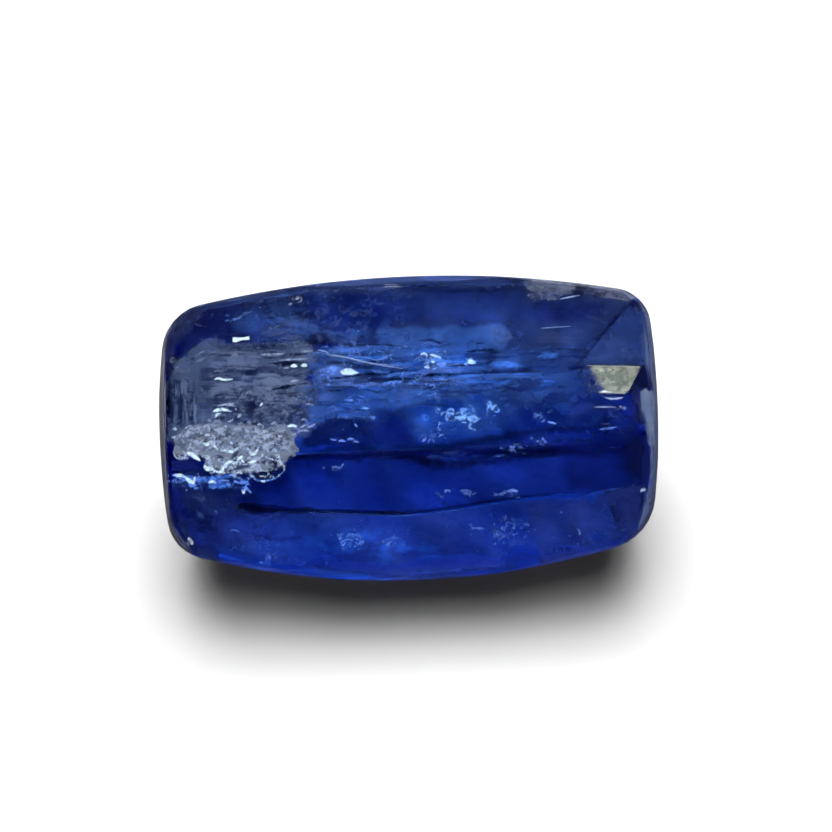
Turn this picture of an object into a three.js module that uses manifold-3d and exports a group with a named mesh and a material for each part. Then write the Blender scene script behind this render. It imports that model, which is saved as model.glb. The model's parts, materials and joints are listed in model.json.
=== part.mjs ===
// A loose cushion-cut tanzanite: one solid, faceted stone, in millimetres, +Z up.
// It is cut as a cutter would: a cushion-shaped blank, then one flat after another.
// It is drawn with its table level and then leaned onto the pavilion flat that a loose stone lies on.
import * as THREE from "three";
import { mergeVertices } from "three/addons/utils/BufferGeometryUtils.js";
import Module from "manifold-3d";

// Driving dimensions, in millimetres and degrees
const length = 10.0;
const width = 6.08;
const crownHeight = 0.3;
const girdleThickness = 0.24;
const pavilionDepth = 2.75;

// The outline's four bowed sides. bow is the side's radius, and off is how far along the side its crest lies.
const backSide = { bow: 21.6, off: 0.08 };
const frontSide = { bow: 15.9, off: 0.1 };
const leftSide = { bow: 14.5, off: -0.05 };
const rightSide = { bow: 15.6, off: 0.37 };
// Corner radii: the two back corners are tighter than the front ones
const cornerRadius = { backRight: 0.78, backLeft: 1.0, frontLeft: 0.85, frontRight: 1.1 };
const outlineStep = 0.3;
const cornerStep = 12;

// The keel is the long ridge along the bottom of the pavilion, a little off centre
const keelOffset = -0.42;
const keelEnd = { left: -3.58, right: 3.62 };
const restSlope = 35;

// Flats that touch the outline: [azimuth, slope], azimuth 0 is +X and 90 is +Y
const crownFlats = [
  [81.5, 72], [90.3, 58], [98.5, 72],
  [258.5, 75], [270, 76], [281.5, 75],
  [171.5, 64], [181.5, 63], [191, 64],
  [-10, 64], [0.5, 63], [8.5, 64],
  [42, 60], [137, 60],
  [208, 66], [233, 68], [307, 68], [332, 66],
];
const girdleFlats = [
  [81.5, 63], [90.3, 61], [99, 63],
  [258.5, 70], [270, 70], [281.5, 70],
  [169, 80], [180.4, 80], [191.5, 80],
  [-10.5, 80], [1.3, 80], [11.5, 80],
  [36, 68], [58, 64], [122, 64], [144, 68],
  [206, 76], [230, 70], [310, 70], [334, 76],
];
// Flats of the middle tier: [azimuth, slope, distance from the axis, depth below the girdle there].
// Two of them share the front, so the line where they meet the lowest tier is level on the left
// and rises to the right.
const middleFlats = [
  [90.4, 38.8, 2.92, 0.16],
  [270, 57.2, 2.77, 0.24],
  [273.2, 56.5, 2.8, 0.22],
  [0.8, 75, 4.92, 0.25],
  [179.3, 74, 4.92, 0.25],
  [58, 48, 4.3, 0.5],
  [124, 48, 4.25, 0.5],
  [222, 60, 4.75, 0.5],
  [318, 60, 4.7, 0.5],
];
// Flats of the lowest tier pass through the keel: [azimuth, slope, where along X]
const keelFlats = [
  [90, 35.9, 0],
  [270, restSlope, 0],
  [0, 49, keelEnd.right],
  [180, 49, keelEnd.left],
];

const rad = THREE.MathUtils.degToRad;
const girdleTop = girdleThickness / 2;
const girdleBottom = -girdleThickness / 2;
const tableHeight = girdleTop + crownHeight;
const keelDepth = girdleBottom - pavilionDepth;

// One side of the outline as a circle: its crest is at half the size along the side's outward direction.
function sideCircle(side, azimuth, half) {
  const out = new THREE.Vector2(Math.cos(rad(azimuth)), Math.sin(rad(azimuth)));
  const along = new THREE.Vector2(Math.abs(out.y), Math.abs(out.x));
  const centre = out.clone().multiplyScalar(half - side.bow).addScaledVector(along, side.off);
  return { centre, radius: side.bow };
}

// The circle of the given radius that lies inside two sides and touches both, on the side where toward points.
function cornerCircle(a, b, radius, toward) {
  const reachA = a.radius - radius;
  const reachB = b.radius - radius;
  const line = b.centre.clone().sub(a.centre);
  const apart = line.length();
  const along = (apart ** 2 + reachA ** 2 - reachB ** 2) / (2 * apart);
  const across = Math.sqrt(reachA ** 2 - along ** 2);
  line.normalize();
  const foot = a.centre.clone().addScaledVector(line, along);
  const square = new THREE.Vector2(-line.y, line.x);
  const found = [across, -across].map((s) => foot.clone().addScaledVector(square, s));
  found.sort((p, q) => q.dot(toward) - p.dot(toward));
  return { centre: found[0], radius };
}

// Where a corner circle touches a side's circle, as the angle seen from the given centre.
function touchAngle(side, corner, centre) {
  const touch = corner.centre.clone().sub(side.centre).setLength(side.radius).add(side.centre);
  return Math.atan2(touch.y - centre.y, touch.x - centre.x);
}

function arcPoints(circle, from, to, steps) {
  const points = [];
  const turn = (to - from + 4 * Math.PI) % (2 * Math.PI);
  for (let i = 0; i < steps; i++) {
    const angle = from + (turn * i) / steps;
    const reach = new THREE.Vector2(Math.cos(angle), Math.sin(angle));
    points.push(reach.multiplyScalar(circle.radius).add(circle.centre));
  }
  return points;
}

// The cushion outline, anticlockwise from the right-hand side: side, corner, side, corner.
function cushionOutline() {
  const right = sideCircle(rightSide, 0, length / 2);
  const back = sideCircle(backSide, 90, width / 2);
  const left = sideCircle(leftSide, 180, length / 2);
  const front = sideCircle(frontSide, 270, width / 2);
  const ring = [
    { side: right, next: back, radius: cornerRadius.backRight, toward: [1, 1] },
    { side: back, next: left, radius: cornerRadius.backLeft, toward: [-1, 1] },
    { side: left, next: front, radius: cornerRadius.frontLeft, toward: [-1, -1] },
    { side: front, next: right, radius: cornerRadius.frontRight, toward: [1, -1] },
  ];
  for (const r of ring) {
    r.corner = cornerCircle(r.side, r.next, r.radius, new THREE.Vector2(...r.toward));
  }
  const points = [];
  ring.forEach((r, i) => {
    const before = ring[(i + 3) % 4];
    const sideFrom = touchAngle(r.side, before.corner, r.side.centre);
    const sideTo = touchAngle(r.side, r.corner, r.side.centre);
    const sweep = (sideTo - sideFrom + 4 * Math.PI) % (2 * Math.PI);
    const sideSteps = Math.round((sweep * r.side.radius) / outlineStep);
    points.push(...arcPoints(r.side, sideFrom, sideTo, sideSteps));
    const from = touchAngle(r.side, r.corner, r.corner.centre);
    const to = touchAngle(r.next, r.corner, r.corner.centre);
    const cornerSweep = (to - from + 4 * Math.PI) % (2 * Math.PI);
    points.push(...arcPoints(r.corner, from, to, Math.ceil(cornerSweep / rad(cornerStep))));
  });
  return points;
}

const wasm = await Module();
wasm.setup();

function toSolid(geometry) {
  const bare = geometry.clone();
  bare.deleteAttribute("normal");
  bare.deleteAttribute("uv");
  const merged = mergeVertices(bare, 1e-5);
  return new wasm.Manifold(
    new wasm.Mesh({
      numProp: 3,
      vertProperties: merged.attributes.position.array,
      triVerts: new Uint32Array(merged.index.array),
    }),
  );
}

function toGeometry(solid) {
  const mesh = solid.getMesh();
  const geometry = new THREE.BufferGeometry();
  geometry.setAttribute("position", new THREE.BufferAttribute(mesh.vertProperties, 3));
  geometry.setIndex(new THREE.BufferAttribute(mesh.triVerts, 1));
  const flat = geometry.toNonIndexed();
  flat.computeVertexNormals();
  return flat;
}

// Outward direction of a flat: up is +1 on the crown and -1 on the pavilion.
function flatNormal(azimuth, slope, up) {
  const flat = Math.sin(rad(slope));
  return new THREE.Vector3(
    Math.cos(rad(azimuth)) * flat,
    Math.sin(rad(azimuth)) * flat,
    Math.cos(rad(slope)) * up,
  );
}

// Grinds one flat: takes away everything outside the plane through point with that outward normal.
function grind(solid, point, normal) {
  const size = 4 * length;
  const block = new THREE.BoxGeometry(size, size, size);
  const turn = new THREE.Quaternion().setFromUnitVectors(new THREE.Vector3(0, 0, 1), normal);
  const middle = point.clone().addScaledVector(normal, size / 2);
  block.applyMatrix4(new THREE.Matrix4().compose(middle, turn, new THREE.Vector3(1, 1, 1)));
  return solid.subtract(toSolid(block));
}

function cutStone() {
  const outline = cushionOutline();
  const reach = (azimuth) => {
    const way = new THREE.Vector2(Math.cos(rad(azimuth)), Math.sin(rad(azimuth)));
    return Math.max(...outline.map((p) => p.dot(way)));
  };
  const onCircle = (azimuth, distance, height) =>
    new THREE.Vector3(
      Math.cos(rad(azimuth)) * distance,
      Math.sin(rad(azimuth)) * distance,
      height,
    );
  const blank = new THREE.ExtrudeGeometry(new THREE.Shape(outline), {
    depth: tableHeight - keelDepth,
    bevelEnabled: false,
  });
  blank.translate(0, 0, keelDepth);
  let stone = toSolid(blank);
  for (const [azimuth, slope] of crownFlats) {
    const edge = onCircle(azimuth, reach(azimuth), girdleTop);
    stone = grind(stone, edge, flatNormal(azimuth, slope, 1));
  }
  for (const [azimuth, slope] of girdleFlats) {
    const edge = onCircle(azimuth, reach(azimuth), girdleBottom);
    stone = grind(stone, edge, flatNormal(azimuth, slope, -1));
  }
  for (const [azimuth, slope, distance, depth] of middleFlats) {
    const edge = onCircle(azimuth, distance, girdleBottom - depth);
    stone = grind(stone, edge, flatNormal(azimuth, slope, -1));
  }
  for (const [azimuth, slope, along] of keelFlats) {
    const keel = new THREE.Vector3(along, keelOffset, keelDepth);
    stone = grind(stone, keel, flatNormal(azimuth, slope, -1));
  }
  return stone;
}

const tanzanite = new THREE.MeshStandardMaterial({
  color: 0x1f3a9e,
  roughness: 0.03,
  metalness: 0,
});
const stone = new THREE.Mesh(toGeometry(cutStone()), tanzanite);
stone.name = "stone";

// Leaning by the front flat's slope brings that flat level, and its plane down to z = 0.
const lean = new THREE.Group();
lean.add(stone);
lean.rotation.x = rad(restSlope);
lean.updateMatrixWorld(true);
const box = new THREE.Box3().setFromObject(lean, true);
lean.position.set(-(box.min.x + box.max.x) / 2, -(box.min.y + box.max.y) / 2, -box.min.z);

const part = new THREE.Group();
part.add(lean);

export default part;
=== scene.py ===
import bpy
import bmesh
import json
import math
import numpy as np
from mathutils import Matrix, Vector


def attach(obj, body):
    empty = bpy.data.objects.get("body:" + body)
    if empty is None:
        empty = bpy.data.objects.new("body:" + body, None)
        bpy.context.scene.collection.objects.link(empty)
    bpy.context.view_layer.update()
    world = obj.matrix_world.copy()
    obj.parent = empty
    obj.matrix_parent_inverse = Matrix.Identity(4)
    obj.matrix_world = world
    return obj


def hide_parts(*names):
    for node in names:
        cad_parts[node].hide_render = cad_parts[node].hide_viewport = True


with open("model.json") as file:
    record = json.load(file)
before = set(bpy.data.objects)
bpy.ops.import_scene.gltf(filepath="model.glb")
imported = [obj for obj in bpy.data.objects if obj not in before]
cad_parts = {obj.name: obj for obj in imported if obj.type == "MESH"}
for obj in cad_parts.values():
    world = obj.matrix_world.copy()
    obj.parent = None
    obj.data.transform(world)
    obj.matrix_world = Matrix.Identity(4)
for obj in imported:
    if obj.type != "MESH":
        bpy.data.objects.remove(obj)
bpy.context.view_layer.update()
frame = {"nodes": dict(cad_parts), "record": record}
mm = 0.001

# The stone leans on a pavilion flat. The table's mount gives the tilt, and the origin of the table
# axes: u runs along the stone, v across it, w out of the table, all in mm.
tableMount = next(m for m in frame["record"]["mounts"] if m["name"] == "table")
tableNormal = Vector(tableMount["axis"]).normalized()
lean = math.atan2(-tableNormal.y, tableNormal.z)
tableToRow = Matrix.Translation(tableMount["pos_m"]) @ Matrix.Rotation(lean, 4, "X")
print("frame loaded, table leans", round(math.degrees(lean), 2), "degrees")

# Camera: square to the table, a long lens, turned a little so that the right end sits higher
cameraLook = {
    "lens": 200.0,
    "sensor": 36.0,
    "frameWidth": 16.62,                     # mm that the frame spans at the table
    "turn": 2.3,                             # roll in degrees
    "stoneCentre": (409.0, 428.2),           # where the table's centre falls, in the photograph's pixels
    "side": 832,                             # the photograph's side in pixels
}


def setSocket(node, name, value):
    node.inputs[name].default_value = value


def makeCamera(look):
    data = bpy.data.cameras.new("camera")
    data.lens = look["lens"]
    data.sensor_width = look["sensor"]
    data.clip_start = 0.001
    data.clip_end = 10.0
    camera = bpy.data.objects.new("camera", data)
    bpy.context.scene.collection.objects.link(camera)
    distance = look["frameWidth"] * mm * look["lens"] / look["sensor"]
    perPixel = look["frameWidth"] * mm / look["side"]
    x, y = look["stoneCentre"]
    aside = Vector(((look["side"] / 2 - x) * perPixel, (y - look["side"] / 2) * perPixel, distance))
    roll = Matrix.Rotation(math.radians(-look["turn"]), 4, "Z")
    camera.matrix_world = tableToRow @ roll @ Matrix.Translation(aside)
    bpy.context.scene.camera = camera


makeCamera(cameraLook)


def fromPhoto(x, y):
    # The table point (u, v) that a pixel of the photograph shows
    centreX, centreY = cameraLook["stoneCentre"]
    perPixel = cameraLook["frameWidth"] / cameraLook["side"]
    turn = math.radians(cameraLook["turn"])
    across, up = (x - centreX) * perPixel, (centreY - y) * perPixel
    return (
        across * math.cos(turn) + up * math.sin(turn),
        up * math.cos(turn) - across * math.sin(turn),
    )


def toRow(points):
    # Table axes in mm to row axes in metres, for any array whose last axis is (u, v, w)
    turn = np.array(tableToRow.to_3x3())
    return points.reshape(-1, 3) * mm @ turn.T + np.array(tableToRow.translation)


# Stone: the CAD solid as one clean mesh, its flats whole again
stoneLook = {
    "ior": 1.694,
    "roughness": 0.0,
    "absorption": (0.079, 0.471, 0.914),
    "density": 1400.0,
}


def cleanCopy(nodeName, pieceName):
    source = frame["nodes"][nodeName]
    mesh = bpy.data.meshes.new(pieceName)
    work = bmesh.new()
    work.from_mesh(source.data)
    work.transform(source.matrix_world)
    bmesh.ops.remove_doubles(work, verts=work.verts, dist=0.002 * mm)
    bmesh.ops.dissolve_limit(
        work, angle_limit=math.radians(0.3), verts=work.verts, edges=work.edges
    )
    work.to_mesh(mesh)
    work.free()
    for layer in list(mesh.uv_layers):
        mesh.uv_layers.remove(layer)
    piece = bpy.data.objects.new(pieceName, mesh)
    bpy.context.scene.collection.objects.link(piece)
    return piece


def newMaterial(name):
    material = bpy.data.materials.new(name)
    material.use_nodes = True
    return material, material.node_tree.nodes, material.node_tree.links


def stoneMaterial(look):
    material, nodes, links = newMaterial("polished_tanzanite")
    shader = nodes["Principled BSDF"]
    setSocket(shader, "Base Color", (1.0, 1.0, 1.0, 1.0))
    setSocket(shader, "Transmission Weight", 1.0)
    setSocket(shader, "IOR", look["ior"])
    setSocket(shader, "Roughness", look["roughness"])
    depth = nodes.new("ShaderNodeVolumeAbsorption")
    setSocket(depth, "Color", (*look["absorption"], 1.0))
    setSocket(depth, "Density", look["density"])
    links.new(depth.outputs["Volume"], nodes["Material Output"].inputs["Volume"])
    return material


stone = cleanCopy("stone", "tanzanite")
stone.data.materials.clear()
stone.data.materials.append(stoneMaterial(stoneLook))
stone.visible_diffuse = False       # matt surfaces see the studio as if the stone weren't there
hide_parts("stone")
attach(stone, "root")
print("stone:", len(stone.data.polygons), "flats")


def flatsOnTable(piece):
    # Each flat as an outward normal and its distance from the origin, in table axes
    count = len(piece.data.polygons)
    normals, centres = np.empty(count * 3), np.empty(count * 3)
    piece.data.polygons.foreach_get("normal", normals)
    piece.data.polygons.foreach_get("center", centres)
    back = np.array(tableToRow.inverted())
    normals = normals.reshape(-1, 3) @ back[:3, :3].T
    centres = (centres.reshape(-1, 3) @ back[:3, :3].T + back[:3, 3]) / mm
    return normals, np.einsum("ij,ij->i", normals, centres)


stoneNormals, stoneOffsets = flatsOnTable(stone)


def heldInside(points, margin=0.04):
    # Keeps points between the stone's lowest and highest level there, in mm: the highest of the
    # flats that face down and the lowest of those that face up, each less a margin
    u, v, w = points[..., 0], points[..., 1], points[..., 2]
    level = []
    for facing in (stoneNormals[:, 2] < -0.02, stoneNormals[:, 2] > 0.02):
        n, d = stoneNormals[facing], stoneOffsets[facing]
        level.append((d - np.multiply.outer(u, n[:, 0]) - np.multiply.outer(v, n[:, 1])) / n[:, 2])
    lowest, highest = level[0].max(axis=-1) + margin, level[1].min(axis=-1) - margin
    held = np.where(lowest < highest, np.clip(w, lowest, np.maximum(lowest, highest)), w)
    return np.stack((u, v, held), axis=-1)


def pulledIn(places, margin=0.012):
    # Moves (u, v) places that lie beyond the girdle's upright flats back onto them, less a margin,
    # each time by the flat that it is farthest beyond. Also tells which places were inside before.
    upright = np.abs(stoneNormals[:, 2]) < 0.02
    normals, limits = stoneNormals[upright, :2], stoneOffsets[upright] - margin
    inside = None
    for _ in range(3):
        beyond = places @ normals.T - limits
        farthest = beyond.argmax(axis=-1)
        excess = np.maximum(beyond.max(axis=-1), 0)
        inside = excess == 0 if inside is None else inside
        places = places - excess[..., None] * normals[farthest]
    return places, inside


def insideShare(points):
    # How many of the points lie inside every flat of the stone
    reach = points.reshape(-1, 3) @ stoneNormals.T - stoneOffsets
    return float((reach.max(axis=1) < 0).mean())


def addPiece(name, points, faces, material, attributes, smooth=False):
    # attributes: one value or one colour for each point, by name
    mesh = bpy.data.meshes.new(name)
    mesh.from_pydata(toRow(points).tolist(), [], faces)
    for layerName, values in attributes.items():
        if values.ndim == 1:
            layer = mesh.attributes.new(layerName, "FLOAT", "POINT")
            layer.data.foreach_set("value", values)
        else:
            layer = mesh.attributes.new(layerName, "FLOAT_COLOR", "POINT")
            layer.data.foreach_set("color", np.column_stack((values, np.ones(len(values)))).ravel())
    mesh.polygons.foreach_set("use_smooth", [smooth] * len(mesh.polygons))
    mesh.materials.append(material)
    mesh.update()
    piece = bpy.data.objects.new(name, mesh)
    bpy.context.scene.collection.objects.link(piece)
    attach(piece, "root")
    print(name, len(faces), "faces, inside the stone:", round(insideShare(points), 3))
    return piece


def tableCoords(nodes, links, stretch=(1.0, 1.0, 1.0)):
    # Object coordinates turned to the table axes, in mm, then stretched
    where = nodes.new("ShaderNodeTexCoord")
    turn = nodes.new("ShaderNodeMapping")
    origin = Matrix.Rotation(-lean, 3, "X") @ Vector(tableMount["pos_m"]) / mm
    setSocket(turn, "Location", -origin)
    setSocket(turn, "Rotation", (-lean, 0, 0))
    setSocket(turn, "Scale", (1 / mm, 1 / mm, 1 / mm))
    links.new(where.outputs["Object"], turn.inputs["Vector"])
    scaled = nodes.new("ShaderNodeMapping")
    setSocket(scaled, "Scale", stretch)
    links.new(turn.outputs["Vector"], scaled.inputs["Vector"])
    return scaled.outputs["Vector"]


def addNoise(nodes, links, stretch, scale, detail, rough=0.6):
    noise = nodes.new("ShaderNodeTexNoise")
    setSocket(noise, "Scale", scale)
    setSocket(noise, "Detail", detail)
    setSocket(noise, "Roughness", rough)
    links.new(tableCoords(nodes, links, stretch), noise.inputs["Vector"])
    return noise.outputs["Fac"]


def addMath(nodes, links, operation, first, second):
    node = nodes.new("ShaderNodeMath")
    node.operation = operation
    for socket, value in zip(node.inputs, (first, second)):
        if isinstance(value, (int, float)):
            socket.default_value = value
        else:
            links.new(value, socket)
    return node.outputs[0]


def addRange(nodes, links, value, fromMin, fromMax, toMin=0.0, toMax=1.0):
    node = nodes.new("ShaderNodeMapRange")
    node.interpolation_type = "SMOOTHSTEP"
    setSocket(node, "From Min", fromMin)
    setSocket(node, "From Max", fromMax)
    setSocket(node, "To Min", toMin)
    setSocket(node, "To Max", toMax)
    links.new(value, node.inputs["Value"])
    return node.outputs["Result"]


def addMix(nodes, links, amount, first, second):
    node = nodes.new("ShaderNodeMix")
    node.data_type = "RGBA"
    links.new(amount, node.inputs[0])
    for socket, value in ((node.inputs[6], first), (node.inputs[7], second)):
        if isinstance(value, tuple):
            socket.default_value = (*value, 1.0)
        else:
            links.new(value, socket)
    return node.outputs[2]


def readAttribute(nodes, name, output="Fac"):
    node = nodes.new("ShaderNodeAttribute")
    node.attribute_name = name
    return node.outputs[output]


def smoothStep(t):
    t = np.clip(t, 0.0, 1.0)
    return t * t * (3.0 - 2.0 * t)


def ripple(x, y, wave, seed, count=9):
    # Sum of sine waves in random directions, from about -1 to 1; wave is the middle wavelength
    rng = np.random.default_rng(seed)
    total = np.zeros(np.broadcast(x, y).shape)
    for i in range(count):
        angle = rng.uniform(0, 2 * math.pi)
        size = 2 * math.pi / (wave * rng.uniform(0.4, 1.6))
        phase = rng.uniform(0, 2 * math.pi)
        total += np.sin(size * (x * math.cos(angle) + y * math.sin(angle)) + phase)
    return total / math.sqrt(count)


# Haze: thin sheets of fine tubes and healed cracks that lie along the stone, which also carry painted
# light and shade: painted glints, painted rim reflections, a painted bright window and painted shade
# along the facet lines. A sheet is a grid of points with a colour and a cover of its own, laid on in
# order: clouds, strokes, then curls.
# Colours are as they show from above, 0 to 255.
hazeColours = {
    # ink, night and navy serve both for dark slits and for painted shade lines and bands
    "ink": (4, 8, 36), "night": (12, 20, 54), "navy": (17, 27, 88), "shade": (30, 38, 72),
    # deep, indigo, abyss, upper, bandRight, the lower colours, azure and sky: bands of painted light and shade
    "deep": (14, 38, 124), "indigo": (16, 38, 126), "marine": (34, 56, 128), "royal": (48, 84, 162),
    "cobalt": (58, 94, 164), "denim": (44, 72, 138), "abyss": (10, 24, 100), "lowerLeft": (26, 44, 112),
    "lowerBright": (32, 66, 158), "upper": (14, 32, 98), "bandRight": (8, 22, 90),
    "lower": (28, 50, 130), "lowerRight": (30, 46, 108), "azure": (34, 84, 190), "sky": (70, 126, 218),
    "slate": (38, 56, 108), "veil": (66, 80, 112), "dusk": (62, 78, 124), "mist": (96, 110, 140),
    "haze": (54, 86, 154), "hazeBlue": (56, 96, 176), "hazeGrey": (58, 80, 138), "hazeLight": (88, 120, 194),
    # rim, topRimGrey, ash and ashBlue: painted rim reflections; topRim: painted shade at the top and a corner
    "rim": (78, 92, 128), "topRim": (26, 38, 76), "topRimGrey": (46, 54, 70), "ash": (102, 108, 120), "ashBlue": (88, 97, 122), "grey": (84, 95, 118),
    "stone": (118, 128, 146), "milk": (164, 180, 206), "lilac": (112, 144, 214), "white": (228, 236, 248),
    # skyLight, glint and glintWhite: painted glints and sparkles
    "skyLight": (108, 152, 232), "glint": (140, 190, 250), "glintWhite": (200, 236, 250),
    # cream, creamDark and creamLight: the painted bright window at the right end
    "cream": (152, 158, 148), "creamDark": (104, 112, 104), "creamLight": (190, 198, 186),
}

# Patterns: name: (size along, size across, octaves, warp), sizes in the photograph's pixels
hazePatterns = {
    "fibres": (46.0, 4.2, 5, 3.0),
    "streaks": (26.0, 3.4, 4, 4.0),
    "mottles": (15.0, 11.0, 5, 6.0),
    "crumbs": (6.0, 4.6, 3, 3.0),
    "grit": (3.4, 2.8, 2, 2.0),
    "combed": (4.0, 30.0, 4, 3.0),
    "wisps": (24.0, 12.0, 4, 14.0),
}


def latticeNoise(x, y, sizeX, sizeY, octaves, seed):
    # Random heights on a lattice, blended smoothly between its points, summed over octaves that
    # halve in size and nearly halve in height; about 0.5 on average
    rng = np.random.default_rng(seed)
    total, height = 0.0, 1.0
    for octave in range(octaves):
        fine = 2.0**octave
        placeX, placeY = (x - x.min()) / sizeX * fine, (y - y.min()) / sizeY * fine
        column, row = placeX.astype(int), placeY.astype(int)
        lattice = rng.random((row.max() + 2, column.max() + 2))
        alongX, alongY = smoothStep(placeX - column), smoothStep(placeY - row)
        upper = lattice[row, column] * (1 - alongX) + lattice[row, column + 1] * alongX
        lower = lattice[row + 1, column] * (1 - alongX) + lattice[row + 1, column + 1] * alongX
        total = total + height * (upper * (1 - alongY) + lower * alongY)
        height *= 0.58
    return total * (1 - 0.58) / (1 - 0.58**octaves)


def hazePattern(x, y, name, between, seed):
    # Warped lattice noise, spread from 0 to 1 between two of its values; wisps are its ridges
    if name == "even":
        return np.ones(x.shape)
    sizeX, sizeY, octaves, warp = hazePatterns[name]
    warpX = warp * (latticeNoise(x, y, 3 * sizeY, 3 * sizeY, 3, seed + 1) - 0.5) * 2
    warpY = warp * (latticeNoise(x, y, 4 * sizeY, 3 * sizeY, 3, seed + 2) - 0.5)
    field = latticeNoise(x + warpX, y + warpY, sizeX, sizeY, octaves, seed)
    if name == "wisps":
        field = 1 - np.abs(field - 0.5) * 4
    low, high = between
    return smoothStep((field - low) / (high - low))


def inPolygon(x, y, outline):
    # Even-odd rule: a point is inside where a line to the left of it crosses an odd number of sides
    inside = np.zeros(x.shape, bool)
    for (x0, y0, *_), (x1, y1, *_) in zip(outline, outline[1:] + outline[:1]):
        if y0 != y1:
            inside ^= ((y0 > y) != (y1 > y)) & (x < (x1 - x0) * (y - y0) / (y1 - y0) + x0)
    return inside


def insideOutline(x, y, outline, ragged, seed):
    # How far inside the nearest side a point is, as a share of that side's fade, with a wavering edge
    total = np.full(x.shape, np.inf)
    side = np.where(inPolygon(x, y, outline), 1.0, -1.0)
    waver = 2 * ragged * (latticeNoise(x, y, 22.0, 16.0, 5, seed) - 0.5)
    for (x0, y0, soft), (x1, y1, _) in zip(outline, outline[1:] + outline[:1]):
        spanX, spanY = x1 - x0, y1 - y0
        place = np.clip(((x - x0) * spanX + (y - y0) * spanY) / (spanX**2 + spanY**2), 0, 1)
        apart = np.hypot(x - x0 - place * spanX, y - y0 - place * spanY)
        reach = (side * apart + waver) / soft
        total = np.where(np.abs(reach) < np.abs(total), reach, total)
    return total


def gridFaces(rows, columns):
    # The quads of a grid of points that is stored row by row
    index = np.arange(rows * columns).reshape(rows, columns)
    corners = (index[:-1, :-1], index[:-1, 1:], index[1:, 1:], index[1:, :-1])
    return np.stack(corners, axis=-1).reshape(-1, 4)


def cloudShare(x, y, shape, ragged, seed):
    # How much of a cloud lies at each point: 1 inside its outline or its oval, 0 outside, with a
    # wavering edge. An oval is (x, y, half length, half height, turn in degrees).
    if isinstance(shape[0], tuple):
        return smoothStep(insideOutline(x, y, shape, ragged, seed))
    middleX, middleY, halfX, halfY, turn = shape
    turn = math.radians(turn)
    across, down = x - middleX, y - middleY
    along = (across * math.cos(turn) - down * math.sin(turn)) / halfX
    aside = (across * math.sin(turn) + down * math.cos(turn)) / halfY
    waver = 2 * ragged / math.hypot(halfX, halfY) * (latticeNoise(x, y, 20.0, 14.0, 5, seed) - 0.5)
    return smoothStep((1.15 - np.hypot(along, aside) + waver) / 0.75)


def smoothPath(corners, steps):
    # Catmull-Rom curve through the corners: between two of them a cubic blend of the four nearest
    corners = np.array(corners, float)
    padded = np.vstack((2 * corners[0] - corners[1], corners, 2 * corners[-1] - corners[-2]))
    place = np.linspace(0, len(corners) - 1, steps)
    start = np.minimum(place.astype(int), len(corners) - 2)
    t = (place - start)[:, None]
    a, b, c, d = (padded[start + i] for i in range(4))
    return 0.5 * (2 * b + (c - a) * t + (2 * a - 5 * b + 4 * c - d) * t**2 + (3 * b - a - 3 * c + d) * t**3)


def strokeShare(x, y, corners, width, soft, ragged, seed):
    # How much of a stroke lies at each point: the distance to its smooth path, less half a width
    # that tapers to both ends as the root of a sine; a fine noise thins a ragged stroke in places
    steps = 12 * len(corners)
    path = smoothPath(corners, steps)
    near = (np.abs(x - path[:, 0].mean()) < np.ptp(path[:, 0]) / 2 + 3 * (width + soft)) & (
        np.abs(y - path[:, 1].mean()) < np.ptp(path[:, 1]) / 2 + 3 * (width + soft))
    share = np.zeros(x.shape)
    if not near.any():
        return share
    startX, startY = path[:-1].T
    spanX, spanY = np.diff(path, axis=0).T
    fromX, fromY = x[near][:, None] - startX, y[near][:, None] - startY
    place = np.clip((fromX * spanX + fromY * spanY) / (spanX**2 + spanY**2), 0, 1)
    apart = np.hypot(fromX - place * spanX, fromY - place * spanY)
    nearest = apart.argmin(axis=1)
    row = np.arange(len(nearest))
    along = (nearest + place[row, nearest]) / (steps - 1)
    waver = 1 + ragged * 2 * (latticeNoise(x, y, 7.0, 3.0, 3, seed)[near] - 0.5)
    half = width / 2 * np.sqrt(np.sin(np.clip(along, 0.01, 0.99) * math.pi)) * waver
    thin = 1 - smoothStep((latticeNoise(x, y, 3.4, 2.6, 2, seed + 1)[near] - 0.28) / 0.3)
    share[near] = smoothStep((half + soft / 2 - apart[row, nearest]) / soft) * (1 - 0.6 * ragged * thin)
    return share


def curlShare(x, y, box, count, radii, width, seed):
    # Small random arcs inside a box. A point's share falls with its distance to an arc's circle, which
    # is squashed a little, and fades at the arc's two ends.
    rng = np.random.default_rng(seed)
    left, top, right, bottom = box
    share = np.zeros(x.shape)
    for i in range(count):
        middleX, middleY = rng.uniform(left, right), rng.uniform(top, bottom)
        radius, squash = rng.uniform(*radii), rng.uniform(0.45, 1.0)
        start, span, bright = rng.uniform(0, 2 * math.pi), rng.uniform(1.4, 5.6), rng.uniform(0.4, 1.0)
        near = (np.abs(x - middleX) < radius + 3) & (np.abs(y - middleY) < radius + 3)
        across, down = x[near] - middleX, (y[near] - middleY) / squash
        apart = np.abs(np.hypot(across, down) - radius) * squash
        along = (np.arctan2(down, across) - start) % (2 * math.pi)
        ends = smoothStep(along / 0.5) * smoothStep((span - along) / 0.5)
        share[near] = np.maximum(share[near], smoothStep((width / 2 + 0.5 - apart) / 1.0) * ends * bright)
    return share


def asLinear(colour):
    # The linear value of an sRGB colour
    value = np.array(colour) / 255.0
    return np.where(value <= 0.04045, value / 12.92, ((value + 0.055) / 1.055) ** 2.4)


def hazeAlbedo(colour, depth):
    # The colour that shows as the given one with that depth of stone above it, in and out
    perMm = (1 - np.array(stoneLook["absorption"])) * stoneLook["density"] * mm
    return np.clip(asLinear(colour) / (hazeLight * np.exp(-2.2 * perMm * depth)), 0, 1)


hazeLight = 1.15              # how bright a white sheet shows just under the table


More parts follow.
